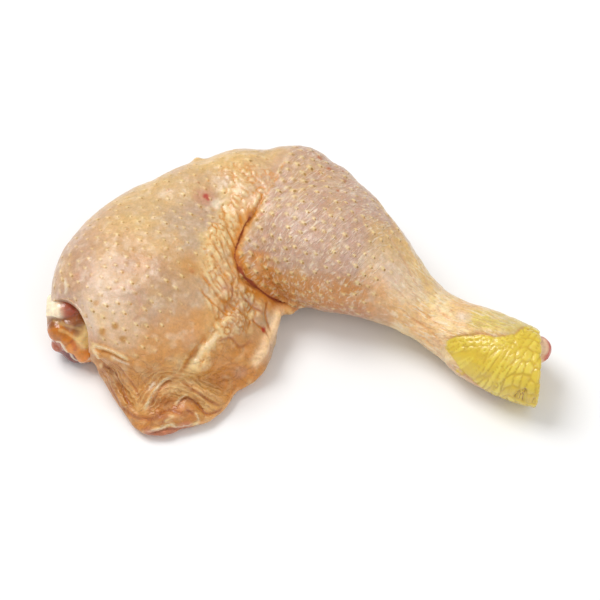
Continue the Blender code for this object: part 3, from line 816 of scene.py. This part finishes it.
PALETTE = {
    "skin": (189, 158, 125), "cream": (242, 214, 154), "pale": (234, 210, 182),
    "mauve": (194, 156, 134), "rose": (198, 146, 116), "straw": (226, 186, 110),
    "ochre": (208, 150, 78), "amber": (208, 132, 24), "rust": (178, 98, 34),
    "crease": (150, 62, 14), "blood": (176, 36, 14), "peach": (232, 176, 114),
    "peach_light": (255, 216, 166), "hock": (222, 190, 16), "lemon": (242, 222, 84),
    "olive": (220, 200, 92), "joint": (196, 156, 36), "white": (238, 222, 196),
    "brown": (134, 82, 46), "lens": (250, 232, 200), "meat": (178, 78, 50),
    "dark_meat": (116, 24, 16), "fat_amber": (194, 112, 12), "fat_orange": (226, 136, 24),
    "fat_brown": (146, 80, 22), "fat_cream": (248, 214, 140), "lobe": (176, 90, 56),
    "lilac": (206, 172, 160), "lip_red": (190, 112, 82), "pore": (166, 120, 52),
    "dome": (236, 212, 146), "furrow_shade": (140, 66, 14), "tan": (176, 138, 100),
    "spot": (190, 134, 62), "bone": (226, 178, 132), "cartilage": (240, 208, 172),
    "blood_rim": (190, 54, 10), "slit_shade": (92, 64, 8),
}

# Broad fields of colour: name, strength, how far it reaches, and the places it runs through
FIELDS = (
    ("straw", 0.45, 17.0, ((112, 222), (150, 192), (200, 172), (240, 158))),
    ("straw", 0.40, 14.0, ((105, 245), (130, 236), (150, 250))),
    ("mauve", 0.45, 13.0, ((62, 292), (74, 252), (92, 222))),
    ("mauve", 0.40, 12.0, ((96, 282), (120, 290), (150, 282))),
    ("pale", 0.45, 8.0, ((90, 322), (104, 312), (108, 330))),
    ("rose", 0.55, 8.0, ((118, 302), (134, 304))),
    ("ochre", 0.30, 18.0, ((150, 262), (175, 290), (190, 320))),
    ("ochre", 0.75, 17.0, ((130, 350), (165, 345), (200, 345))),
    ("cream", 0.70, 6.0, ((178, 366), (190, 366), (198, 364))),
    ("amber", 0.60, 15.0, ((130, 395), (165, 392), (205, 388), (238, 372))),
    ("amber", 0.50, 12.0, ((150, 425), (185, 418), (215, 408), (245, 385))),
    ("rust", 0.45, 7.0, ((160, 412), (174, 407), (188, 406))),
    ("rust", 0.40, 6.0, ((108, 375), (118, 396), (128, 410), (140, 418))),
    ("amber", 0.35, 9.0, ((250, 330), (258, 345), (248, 360))),
    ("cream", 0.80, 10.0, ((247, 190), (238, 212), (226, 238), (220, 262), (222, 290))),
    ("straw", 0.60, 10.0, ((222, 160), (245, 165), (262, 172), (282, 158))),
    ("mauve", 0.80, 24.0, ((290, 190), (330, 215), (368, 250))),
    ("mauve", 0.50, 10.0, ((300, 155), (335, 168), (370, 200))),
    # Amber and rust along the calf's lower side by the knee crease: partly the skin's own tint, partly
    # painted shade.
    ("amber", 0.80, 12.0, ((258, 276), (282, 290), (316, 296), (350, 298))),
    ("rust", 0.50, 7.0, ((262, 284), (282, 298), (310, 306), (350, 311), (384, 316))),
    ("straw", 0.55, 8.0, ((385, 238), (408, 262), (432, 290))),
    ("pale", 0.50, 9.0, ((376, 268), (392, 274), (410, 286))),
    ("peach", 0.45, 5.0, ((370, 272), (380, 288))),
    ("peach", 0.55, 9.0, ((380, 302), (408, 316), (432, 334))),
    ("cream", 0.65, 9.0, ((440, 300), (456, 322), (450, 338))),
    ("peach", 0.60, 8.0, ((468, 306), (478, 322), (482, 330))),
    ("olive", 0.85, 8.5, ((484, 320), (500, 319), (512, 322))),
    ("pale", 0.60, 3.0, ((462, 316), (465, 319))),
    ("rose", 0.55, 6.0, ((452, 372), (466, 386), (482, 396), (496, 400))),
    ("peach_light", 0.70, 4.0, ((283, 303), (278, 316), (272, 331), (266, 345), (257, 360))),
    ("cream", 0.60, 4.0, ((286, 308), (296, 308))),
    # Cream on the lit side of the ridge beside the apron's valley, a painted highlight.
    ("cream", 0.55, 4.0, ((221, 330), (206, 348), (194, 364))),
    ("ochre", 0.60, 5.0, ((232, 282), (230, 300), (218, 316))),
    # A faint band of painted shade in the crease colour.
    ("crease", 0.15, 5.0, ((214, 384), (224, 385), (234, 382))),
    ("straw", 0.40, 8.0, ((186, 388), (200, 392), (210, 402))),
    ("ochre", 0.35, 9.0, ((120, 372), (140, 376), (160, 372))),
    ("straw", 0.30, 7.0, ((126, 400), (140, 408))),
    ("tan", 0.60, 17.0, ((84, 268), (112, 268), (145, 282))),
    ("skin", 0.40, 12.0, ((130, 305), (150, 310), (165, 322))),
    ("rose", 0.30, 16.0, ((84, 268), (104, 250), (130, 262))),
    ("amber", 0.35, 14.0, ((120, 350), (150, 345), (185, 335))),
    ("pale", 0.50, 11.0, ((94, 304), (108, 318), (122, 332))),
)

# Small marks: name, strength, radius, place
MARKS = (
    ("rose", 0.85, 4.4, (205, 197)), ("blood", 0.9, 1.2, (206, 196)), ("blood", 0.8, 0.8, (208, 199)),
    ("white", 0.7, 2.2, (216, 204)), ("brown", 0.7, 0.6, (206, 212)), ("blood", 0.95, 0.7, (168, 190)),
    ("blood", 0.95, 0.6, (198, 182)), ("spot", 0.70, 3.2, (191, 267)), ("ochre", 0.40, 5.5, (193, 264)),
    ("rust", 0.5, 1.0, (192, 271)), ("ochre", 0.55, 4.2, (142, 263)), ("straw", 0.30, 4.0, (155, 247)),
    ("rose", 0.55, 2.0, (77, 277)), ("rust", 0.5, 0.8, (92, 275)), ("rust", 0.45, 0.9, (102, 277)),
    ("spot", 0.9, 1.5, (102, 332)), ("spot", 0.9, 1.4, (123, 339)), ("spot", 0.8, 1.3, (84, 316)),
    ("spot", 0.9, 1.4, (115, 326)), ("spot", 0.7, 1.2, (78, 307)), ("spot", 0.7, 1.2, (96, 303)),
    ("rust", 0.6, 0.7, (111, 224)), ("rust", 0.5, 0.6, (126, 229)), ("rust", 0.5, 0.6, (132, 249)),
    ("rust", 0.45, 0.7, (122, 272)), ("rust", 0.95, 1.1, (320, 158)), ("rust", 0.95, 1.1, (329, 169)),
    ("rust", 0.9, 1.1, (318, 172)), ("rust", 0.8, 0.9, (342, 171)), ("rust", 0.9, 1.0, (344, 181)),
    ("rust", 0.8, 0.9, (338, 191)), ("blood", 1.0, 1.1, (264, 330)), ("rose", 0.5, 3.0, (240, 372)),
    ("white", 0.9, 0.8, (198.4, 426)), ("blood", 0.6, 1.0, (268, 203)), ("blood", 0.5, 0.9, (276, 214)),
    # The slit marks on the hock are painted shade.
    ("blood", 0.5, 0.8, (262, 214)), ("slit_shade", 0.95, 1.0, (515, 397)), ("slit_shade", 0.95, 1.0, (518, 393)),
    ("slit_shade", 0.95, 0.9, (523.5, 400)), ("slit_shade", 0.95, 0.9, (525, 394)), ("rust", 0.80, 1.1, (534, 401)),
    ("rust", 0.60, 1.0, (538, 394)), ("rose", 0.5, 3.0, (226, 288)), ("blood", 0.5, 0.6, (225, 288)),
    ("blood", 0.4, 0.5, (244, 199)),
)
SCRATCH = ("rose", 0.6, 0.8, ((113, 290), (122, 286), (132, 289), (139, 299), (141, 312), (134, 320)))


def linear(name):
    """A palette colour as the linear values that the renderer works in."""
    value = np.array(PALETTE[name]) / 255
    return np.where(value <= 0.04045, value / 12.92, ((value + 0.055) / 1.055) ** 2.4)


def paint(colour, name, weight):
    colour += (linear(name) - colour) * np.clip(weight, 0, 1)[:, None]


def paint_round(colour, co, line, name, strength, reach, edge):
    """Paints along a line, or round a place, with its border varied by the edge noise."""
    found, gap, _ = near_line(co, line, 1.9 * reach)
    part = colour[found]
    paint(part, name, strength * (1 - ease(np.abs(gap) / reach + 0.35 * edge[found], 0.35, 1.15)))
    colour[found] = part


def dot(place):
    return np.array([place, place + 0.01])


def store(piece, name, values):
    """Keeps a colour or a number for each point of a piece, for its material to read."""
    if values.ndim == 2:
        kept = piece.data.color_attributes.new(name=name, type="FLOAT_COLOR", domain="POINT")
        kept.data.foreach_set("color", np.c_[values, np.ones(len(values))].astype(np.float32).ravel())
    else:
        kept = piece.data.attributes.new(name=name, type="FLOAT", domain="POINT")
        kept.data.foreach_set("value", values.astype(np.float32))


def paint_skin(masks):
    co = points_of(skin)
    wide, fine, tiny = lattice_noise(co, 7.0, 11), lattice_noise(co, 2.4, 12), lattice_noise(co, 1.2, 13)
    edge = 0.5 * wide + 0.5 * fine
    colour = np.tile(linear("skin"), (len(co), 1))
    paint(colour, "mauve", 0.9 * masks["calf"])
    paint(colour, "cream", 0.9 * masks["shank"])
    paint(colour, "amber", 0.72 * masks["apron"])
    for name, strength, reach, places in FIELDS:
        paint_round(colour, co, line_on_skin(places), name, strength, reach, edge)
    plain = (1 - 0.7 * masks["scaled"]) * (1 - 0.8 * masks["apron"])
    paint(colour, "mauve", 0.25 * ease(wide, 0.1, 0.7) * plain)
    paint(colour, "straw", 0.20 * ease(-wide, 0.1, 0.7) * plain)
    paint(colour, "pale", 0.30 * ease(fine + 0.5 * tiny, 0.1, 0.8) * plain)
    paint(colour, "ochre", 0.15 * ease(-fine - 0.5 * tiny, 0.1, 0.8) * plain)
    paint(colour, "cream", 0.20 * ease(fine, 0.1, 0.8) * masks["apron"])
    paint(colour, "rust", 0.20 * masks["apron"] * ease(tiny + 0.5 * fine, 0.5, 1.1))
    paint(colour, "amber", 0.42 * ease(masks["between"], 0.15, 0.9))
    hollow = hollowness(skin, 3)
    # Painted shade and light: amber in the hollows of the skin, cream on its crests.
    paint(colour, "amber", (1 - 0.5 * masks["calf"]) * ease(hollow, 0.03, 0.22))
    paint(colour, "cream", 0.55 * ease(-hollow, 0.03, 0.22) * plain)
    paint(colour, "lilac", 0.55 * masks["rim"])
    for _, width, name, strength, places in STROKES:
        paint_round(colour, co, line_on_skin(places), name, strength, 1.5 * width, 0.5 * edge)
    paint_round(colour, co, line_on_skin(SCRATCH[3]), *SCRATCH[:3], 0.5 * edge)
    for u, v, width, _, name, strength in LUMPS:
        paint_round(colour, co, dot(spot(u, v)), name, strength, width, 0.5 * edge)
    for name, strength, radius, place in MARKS:
        paint_round(colour, co, dot(spot(*place)), name, strength, 1.25 * radius, edge)
    # Painted shade along the knee crease: a wide amber band and a narrower rust one, partly the skin's own
    # tint there.
    for half, places in CREASE_LINES.values():
        paint_round(colour, co, line_on_skin(places), "amber", 0.75, 9.0 * half, edge)
        paint_round(colour, co, line_on_skin(places), "rust", 0.70, 4.0 * half, edge)
    paint_hock(colour, masks, fine)
    store(skin, "skin_colour", colour)
    creases = [(2 * half, places) for half, places in CREASE_LINES.values()]
    crease = line_marks(co, creases, CREASE_REACH, 1.0, 0.10)
    wet = 0.14 + 0.12 * edge + 0.25 * masks["pebbles"] + 0.40 * masks["scaled"]
    store(skin, "skin_wet", np.clip(wet, 0, 1) * (1 - crease[:, 1]))
    for region in ("calf", "scaled", "apron", "shank", "feather"):
        store(skin, "skin_" + region, masks[region])
    store(skin, "skin_lines", stroke_marks(co))
    store(skin, "skin_crease", crease)
    sweeps = [(1.0, places) for places in WRINKLE_SWEEPS]
    store(skin, "skin_sweep", line_marks(co, sweeps, SWEEP_REACH, 4.0, 0.12))


def paint_hock(colour, masks, fine):
    scaled, joints, share = masks["scaled"], masks["joints"], masks["plate_share"]
    paint(colour, "hock", 0.92 * scaled)
    # The middles of the plates lighter lemon, differing plate to plate: partly each plate's own tone, partly
    # painted highlight.
    paint(colour, "lemon", 0.60 * scaled * ease(masks["plates"], 0.5, 1.0) * share)
    paint(colour, "joint", 0.25 * scaled * ease(fine, 0.1, 0.8))
    paint(colour, "joint", 0.45 * ease(joints, 0.35, 0.95))


# Parts of a dome: middle along it, half length and half width in sizes of the dome, strength, colour.
# The white streak behind the tip is a painted highlight, and the pore dot under the tip is partly the
# pore's own colour and partly a painted shadow.
FEATHER_PAINT = (
    (0.0, 1.5, 1.1, 0.40, "straw"),
    (-0.35, 1.25, 0.60, 0.60, "dome"),
    (-0.65, 0.90, 0.20, 0.50, "white"),
    (0.75, 0.52, 0.48, 1.50, "pore"),
)


# Materials, with the strength and the distance in metres of each one's bump

BUMPS = {"skin": (0.9, 0.0006), "flesh": (0.5, 0.0004), "bone": (0.4, 0.0003)}


def material_of(piece, name):
    material = bpy.data.materials.new(name)
    material.use_nodes = True
    piece.data.materials.clear()
    piece.data.materials.append(material)
    tree = material.node_tree
    return tree, tree.nodes["Principled BSDF"]


def fill(tree, made, links, values):
    """Sets a node's settings and unlinked inputs, and joins up its linked ones."""
    for key, value in values.items():
        if key in made.inputs:
            made.inputs[key].default_value = value
        else:
            setattr(made, key, value)
    for socket, source in dict(links).items():
        tree.links.new(source, made.inputs[socket])
    return made


def node(tree, kind, links=(), **values):
    return fill(tree, tree.nodes.new("ShaderNode" + kind), links, values)


def surface(tree, shader, colour, height, bump, links, values):
    """Gives a shader its colour, the bump of its height by strength and distance, and its other inputs."""
    strength, distance = bump
    normal = node(tree, "Bump", {"Height": height}, Strength=strength, Distance=distance).outputs["Normal"]
    fill(tree, shader, {"Base Color": colour, "Normal": normal, **links}, values)


def math_node(tree, kind, *sources):
    """A sum, product or other step of numbers, each a socket or a plain value."""
    made = node(tree, "Math", operation=kind)
    for socket, source in zip(made.inputs, sources):
        if isinstance(source, (int, float)):
            socket.default_value = source
        else:
            tree.links.new(source, socket)
    return made.outputs[0]


def times(tree, *sources):
    return math_node(tree, "MULTIPLY", *sources)


def above_zero(tree, source):
    return math_node(tree, "MAXIMUM", source, 0.0)


def map_range(tree, value, low, high, to_low=0.0, to_high=1.0):
    made = node(tree, "MapRange", {"Value": value})
    for socket, number in zip(list(made.inputs)[1:5], (low, high, to_low, to_high)):
        socket.default_value = number
    return made.outputs["Result"]


def mix(tree, a, b, factor, kind="MIX"):
    mixed = node(tree, "MixRGB", blend_type=kind)
    for socket, source in (("Fac", factor), ("Color1", a), ("Color2", b)):
        if isinstance(source, (float, tuple)):
            mixed.inputs[socket].default_value = source
        else:
            tree.links.new(source, mixed.inputs[socket])
    return mixed.outputs["Color"]


def display(name):
    return (*linear(name), 1.0)


def attribute(tree, name, socket="Fac"):
    return node(tree, "Attribute", attribute_name=name).outputs[socket]


def new_group(name, sockets_in, sockets_out):
    group = bpy.data.node_groups.new(name, "ShaderNodeTree")
    for socket, kind in sockets_in:
        group.interface.new_socket(name=socket, in_out="INPUT", socket_type="NodeSocket" + kind)
    for socket, kind in sockets_out:
        group.interface.new_socket(name=socket, in_out="OUTPUT", socket_type="NodeSocket" + kind)
    return group, group.nodes.new("NodeGroupInput"), group.nodes.new("NodeGroupOutput")


def make_grain():
    """Fine wet grain: a fleck mask, a shading value round 1 and a height."""
    group, given, out = new_group(
        "wet_grain",
        (("Place", "Vector"), ("Scale", "Float"), ("Depth", "Float"), ("Contrast", "Float")),
        (("Fleck", "Float"), ("Shade", "Float"), ("Height", "Float")),
    )
    places = {"Vector": given.outputs["Place"], "Scale": given.outputs["Scale"]}
    lumps = node(group, "TexNoise", places, Detail=5.0, Roughness=0.68).outputs["Fac"]
    pores = node(group, "TexVoronoi", places, feature="F1").outputs["Distance"]
    fleck = map_range(group, pores, 0.32, 0.12)
    spread = times(group, math_node(group, "SUBTRACT", lumps, 0.5), given.outputs["Contrast"])
    shade = math_node(group, "ADD", spread, 1.0)
    height = times(group, lumps, given.outputs["Depth"])
    for socket, source in (("Fleck", fleck), ("Shade", shade), ("Height", height)):
        group.links.new(source, out.inputs[socket])
    return group


def grain_of(tree, place, scale, depth, contrast):
    return node(tree, "Group", {"Place": place}, node_tree=grain, Scale=scale, Depth=depth, Contrast=contrast)


def stretched(tree, place, turn, stretch):
    """Places turned about the upright axis and stretched, for grain that runs one way."""
    made = node(tree, "Mapping", {"Vector": place}, vector_type="TEXTURE")
    made.inputs["Rotation"].default_value = (0.0, 0.0, math.radians(turn))
    made.inputs["Scale"].default_value = stretch
    return made.outputs["Vector"]


def ellipse(tree, place, middle, half_length, half_width):
    """1 inside an ellipse of a dome's own place, fading to 0 at its edge."""
    scaled = node(tree, "VectorMath", operation="MULTIPLY", links={0: place})
    scaled.inputs[1].default_value = (1 / half_length, 1 / half_width, 0.0)
    apart = node(tree, "VectorMath", operation="DISTANCE", links={0: scaled.outputs["Vector"]})
    apart.inputs[1].default_value = (middle / half_length, 0.0, 0.0)
    return map_range(tree, apart.outputs["Value"], 1.15, 0.65)


def thin_line(tree, name, wide, narrow):
    """1 on the middle of a stored line and 0 beside it, with how strong the line is there."""
    parts = node(tree, "SeparateXYZ", {"Vector": attribute(tree, name, "Vector")})
    return map_range(tree, math_node(tree, "ABSOLUTE", parts.outputs["X"]), wide, narrow), parts.outputs["Y"]


def fibres_of(tree, place, turn, scale):
    places = {"Vector": stretched(tree, place, turn, (1.0, 0.18, 0.4))}
    return node(tree, "TexNoise", places, Scale=scale, Detail=3.0, Distortion=0.8).outputs["Fac"]


def skin_material():
    tree, shader = material_of(skin, "chicken_skin")
    place = node(tree, "TexCoord").outputs["Object"]
    calf, apron, shank = (attribute(tree, name) for name in ("skin_calf", "skin_apron", "skin_shank"))
    coarse = grain_of(tree, place, scale=260.0, depth=0.55, contrast=0.5)
    fine = grain_of(tree, place, scale=900.0, depth=0.22, contrast=0.7)
    fibres, strands = fibres_of(tree, place, 45, 200.0), fibres_of(tree, place, -30, 170.0)
    crumples = node(
        tree, "TexNoise", {"Vector": stretched(tree, place, 10, (1.0, 0.55, 0.8))},
        Scale=130.0, Detail=5.0, Distortion=1.0,
    ).outputs["Fac"]
    crumple = math_node(tree, "ABSOLUTE", math_node(tree, "SUBTRACT", crumples, 0.5))
    colour = attribute(tree, "skin_colour", "Color")
    # White on the crests of the calf's fibres and the shank's strands is painted highlight; rust in the
    # grooves of the apron's crumples is partly painted shade.
    for mask, strength, name in (
        (times(tree, map_range(tree, fibres, 0.54, 0.64), calf), 0.55, "white"),
        (times(tree, map_range(tree, strands, 0.54, 0.64), shank), 0.55, "white"),
        (times(tree, map_range(tree, strands, 0.46, 0.38), shank), 0.35, "rose"),
        (times(tree, map_range(tree, crumple, 0.045, 0.0), apron), 0.18, "rust"),
    ):
        colour = mix(tree, colour, display(name), times(tree, mask, strength))
    feather = attribute(tree, "skin_feather", "Vector")
    clear = node(tree, "SeparateXYZ", {"Vector": feather}).outputs["Z"]
    for middle, half_length, half_width, strength, name in FEATHER_PAINT:
        form = times(tree, ellipse(tree, feather, middle, half_length, half_width), clear)
        colour = mix(tree, colour, display(name), times(tree, form, strength))
    grainy = map_range(tree, attribute(tree, "skin_scaled"), 0.0, 1.0, 0.9, 0.25)
    for placed in (coarse, fine):
        colour = mix(tree, colour, placed.outputs["Shade"], grainy, "MULTIPLY")
    blotches = node(tree, "TexNoise", {"Vector": place}, Scale=480.0, Detail=3.0).outputs["Fac"]
    tint = mix(tree, (1.04, 1.03, 1.06, 1), (0.97, 0.94, 0.86, 1), map_range(tree, blotches, 0.40, 0.60))
    colour = mix(tree, colour, tint, grainy, "MULTIPLY")
    # The apron's fine wrinkles: a bump, with painted shade in their furrows and painted highlight on their
    # crests.
    gap, clear, _ = node(tree, "SeparateXYZ", {"Vector": attribute(tree, "skin_sweep", "Vector")}).outputs
    phase = math_node(tree, "ADD", times(tree, gap, 3.1), times(tree, crumples, 16.0))
    wrinkle = times(tree, map_range(tree, math_node(tree, "SINE", phase), -1.0, 1.0), clear)
    furrow_shade = math_node(tree, "SUBTRACT", times(tree, clear, 0.35), wrinkle)
    colour = mix(tree, colour, display("furrow_shade"), above_zero(tree, times(tree, furrow_shade, 0.60)))
    crest_highlight = above_zero(tree, math_node(tree, "SUBTRACT", wrinkle, 0.75))
    colour = mix(tree, colour, display("cream"), times(tree, crest_highlight, 1.1))
    # A thin line of painted shade along the sunken strokes, and of painted highlight along the raised ones.
    line, strength = thin_line(tree, "skin_lines", 0.95, 0.30)
    broken = map_range(tree, coarse.outputs["Shade"], 0.85, 1.05, 0.5, 1.0)
    line_shading = times(tree, times(tree, line, broken), strength)
    colour = mix(tree, colour, display("furrow_shade"), above_zero(tree, line_shading))
    colour = mix(tree, colour, display("white"), above_zero(tree, times(tree, line_shading, -1.0)))
    # The knee crease's thin dark line, painted shade.
    crease, there = thin_line(tree, "skin_crease", 1.0, 0.45)
    colour = mix(tree, colour, display("crease"), times(tree, crease, there))
    grains = math_node(tree, "ADD", coarse.outputs["Height"], fine.outputs["Height"])
    for height, mask, share in (
        (fibres, calf, 1.2), (strands, shank, 1.4),
        (map_range(tree, crumple, 0.0, 0.04), apron, 0.30), (wrinkle, 1.0, 0.45),
    ):
        grains = math_node(tree, "ADD", grains, times(tree, height, times(tree, mask, share)))
    rough = map_range(tree, fine.outputs["Shade"], 0.8, 1.2, 0.24, 0.42)
    links = {
        "Roughness": math_node(tree, "ADD", rough, times(tree, there, 0.5)),
        "Coat Weight": attribute(tree, "skin_wet"),
    }
    surface(tree, shader, colour, grains, BUMPS["skin"], links, {
        "Coat Roughness": 0.14, "Specular IOR Level": 0.7, "Subsurface Weight": 0.12,
        "Subsurface Radius": (1.0, 0.45, 0.25), "Subsurface Scale": 0.002,
    })


# The studio

def make_floor():
    bpy.ops.mesh.primitive_plane_add(size=6.0, location=(0, 0, 0))
    floor = bpy.context.object
    floor.name = "floor"
    tree, shader = material_of(floor, "pale_floor")
    fill(tree, shader, {}, {"Base Color": (0.93, 0.93, 0.93, 1), "Roughness": 0.7, "Specular IOR Level": 0.2})


def make_light(name, place, size, energy):
    bpy.ops.object.light_add(type="AREA", location=place)
    light = bpy.context.object
    light.name = name
    light.data.size = size
    light.data.energy = energy
    light.rotation_euler = (-Vector(place)).to_track_quat("-Z", "Y").to_euler()


def make_studio():
    make_floor()
    make_light("key", (-0.75, 0.5, 1.5), size=0.9, energy=18.5)
    make_light("fill", (0.9, -0.9, 1.3), size=1.4, energy=6.5)
    world = bpy.data.worlds.new("studio")
    world.use_nodes = True
    fill(world.node_tree, world.node_tree.nodes["Background"], {}, {"Color": (1, 1, 1, 1), "Strength": 0.56})
    bpy.context.scene.world = world
    bpy.context.scene.view_settings.view_transform = "Standard"


def finish_piece(piece, solid):
    only(piece)
    bpy.ops.object.shade_smooth()
    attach(piece, "root")
    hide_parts(solid)


# Flesh and fat in the hip cut

FLESH_CELL = 0.4

# Lobes: colour, how wet, how far it stands out, size, and its place
LOBES = (
    ("lens", 0.7, 3.0, 3.6, (57, 308)), ("meat", 0.8, 3.6, 2.8, (68, 306)),
    ("meat", 0.8, 3.4, 2.6, (74, 314)), ("fat_brown", 0.7, 2.0, 2.8, (70, 322)),
    ("fat_brown", 0.8, 0.2, 2.2, (54, 324)), ("fat_amber", 0.8, 0.4, 3.0, (57, 332)),
    ("fat_amber", 0.8, 0.4, 3.2, (66, 336)), ("fat_orange", 0.8, 0.3, 3.0, (75, 347)),
    ("fat_brown", 0.8, 0.6, 2.2, (80, 331)), ("fat_cream", 0.8, 1.4, 3.2, (83, 341)),
    ("fat_brown", 0.7, 2.6, 2.4, (79, 321)), ("fat_cream", 0.7, 2.0, 2.4, (84, 332)),
    # The dark meat at the cut's lowest edge: partly the meat's own dark red, partly painted shade on its
    # underside.
    ("lobe", 0.8, 0.2, 2.4, (58, 347)), ("dark_meat", 0.9, -0.4, 2.8, (66, 356)),
    ("fat_orange", 0.8, 0.3, 2.8, (84, 356)),
)
MEMBRANES = (
    ("fat_cream", 0.30, 0.5, ((54, 321), (61, 324), (70, 327), (80, 329))),
    ("white", 0.8, 0.5, ((53, 340), (60, 341), (66, 349), (72, 357), (80, 361), (90, 362))),
    ("fat_cream", 0.35, 0.5, ((60, 330), (68, 333), (76, 338), (82, 341))),
    ("blood", 0.4, 0.7, ((72, 341), (74, 344), (75, 349))),
    ("blood", 0.6, 0.5, ((89, 347), (90, 351))),
)


def make_flesh():
    flesh = copy_of_node("hip_flesh", "hip_flesh_and_fat")
    refine(flesh, FLESH_CELL, 6)
    tree = tree_of(flesh)

    def on_flesh(u, v):
        hit = tree.ray_cast(*ray_through(u, v))[0]
        return np.array(hit if hit is not None else tree.find_nearest(Vector(spot(u, v)) * MM)[0]) / MM

    co = points_of(flesh)
    noise, edge = lattice_noise(co, 2.6, 31), lattice_noise(co, 1.5, 32)
    colours = np.array([linear(lobe[0]) for lobe in LOBES])
    wet, rise, size = np.array([lobe[1:4] for lobe in LOBES]).T
    centres = np.array([on_flesh(*lobe[4]) for lobe in LOBES])
    gaps = np.linalg.norm(co[:, None] - centres[None], axis=2) / size + 0.16 * noise[:, None]
    share = np.exp(-((gaps / 0.7) ** 2)) + 1e-9
    share /= share.sum(axis=1, keepdims=True)
    first, second = np.sort(gaps, axis=1)[:, :2].T
    seam = 1 - ease(second - first, 0.0, 0.35)
    height = share @ rise + 0.10 * (1 - seam) + 0.22 * noise + 0.12 * edge
    colour = share @ colours
    paint(colour, "fat_brown", 0.30 * seam * ease(noise, -0.2, 0.6))
    paint(colour, "white", 0.12 * ease(edge, 0.3, 0.9))
    paint(colour, "rust", 0.25 * ease(-edge, 0.2, 0.9))
    for name, strength, width, places in MEMBRANES:
        line = smooth_line([on_flesh(u, v) for u, v in places])
        paint_round(colour, co, line, name, strength, 1.5 * width, edge)
        found, gap, _ = near_line(co, line, 3 * width)
        height[found] += 0.35 * strength * np.exp(-((gap / width) ** 2))
    raise_surface(flesh, height)
    store(flesh, "flesh_colour", colour)
    store(flesh, "flesh_wet", share @ wet)
    return flesh


def flesh_material(flesh):
    tree, shader = material_of(flesh, "flesh_and_fat")
    wet = grain_of(tree, node(tree, "TexCoord").outputs["Object"], scale=420.0, depth=0.8, contrast=1.0)
    colour = mix(tree, attribute(tree, "flesh_colour", "Color"), wet.outputs["Shade"], 1.0, "MULTIPLY")
    links = {"Coat Weight": times(tree, attribute(tree, "flesh_wet"), 0.55)}
    surface(tree, shader, colour, wet.outputs["Height"], BUMPS["flesh"], links, {
        "Roughness": 0.18, "Coat Roughness": 0.06, "Subsurface Weight": 0.2,
        "Subsurface Radius": (1.0, 0.35, 0.2), "Subsurface Scale": 0.002,
    })


# The end of the shank bone

BONE_CELL = 0.5
BONE_MARKS = (
    ("blood_rim", 0.95, 2.6, ((548, 336), (552, 341), (552, 348), (549, 356))),
    ("blood_rim", 0.5, 0.8, ((541, 333), (546, 335), (550, 337))),
    ("cartilage", 0.8, 1.8, ((543, 341), (545, 350))),
)


def make_bone():
    bone = copy_of_node("shank_bone", "shank_bone_end")
    refine(bone, BONE_CELL, 5)
    co = points_of(bone)
    noise, pitted = lattice_noise(co, 1.8, 41), lattice_noise(co, 0.9, 42)
    raise_surface(bone, 0.12 * noise + 0.08 * pitted)
    colour = np.tile(linear("bone"), (len(co), 1))
    paint(colour, "cartilage", 0.6 * ease(noise, -0.2, 0.5))
    paint(colour, "ochre", 0.4 * ease(pitted, 0.2, 0.9))
    tree = tree_of(bone)
    for name, strength, width, places in BONE_MARKS:
        line = np.array([tree.find_nearest(Vector(spot_on(tree, u, v)) * MM)[0] for u, v in places]) / MM
        paint_round(colour, co, line, name, strength, 1.4 * width, noise)
    store(bone, "bone_colour", colour)
    return bone


def bone_material(bone):
    tree, shader = material_of(bone, "bone_and_cartilage")
    wet = grain_of(tree, node(tree, "TexCoord").outputs["Object"], scale=600.0, depth=0.5, contrast=0.8)
    colour = mix(tree, attribute(tree, "bone_colour", "Color"), wet.outputs["Shade"], 0.9, "MULTIPLY")
    values = {"Roughness": 0.4, "Coat Weight": 0.5, "Coat Roughness": 0.15}
    surface(tree, shader, colour, wet.outputs["Height"], BUMPS["bone"], {}, values)


grain = make_grain()
paint_skin(shape_skin())
skin_material()
finish_piece(skin, "leg")
flesh = make_flesh()
flesh_material(flesh)
finish_piece(flesh, "hip_flesh")
bone = make_bone()
bone_material(bone)
finish_piece(bone, "shank_bone")
make_studio()
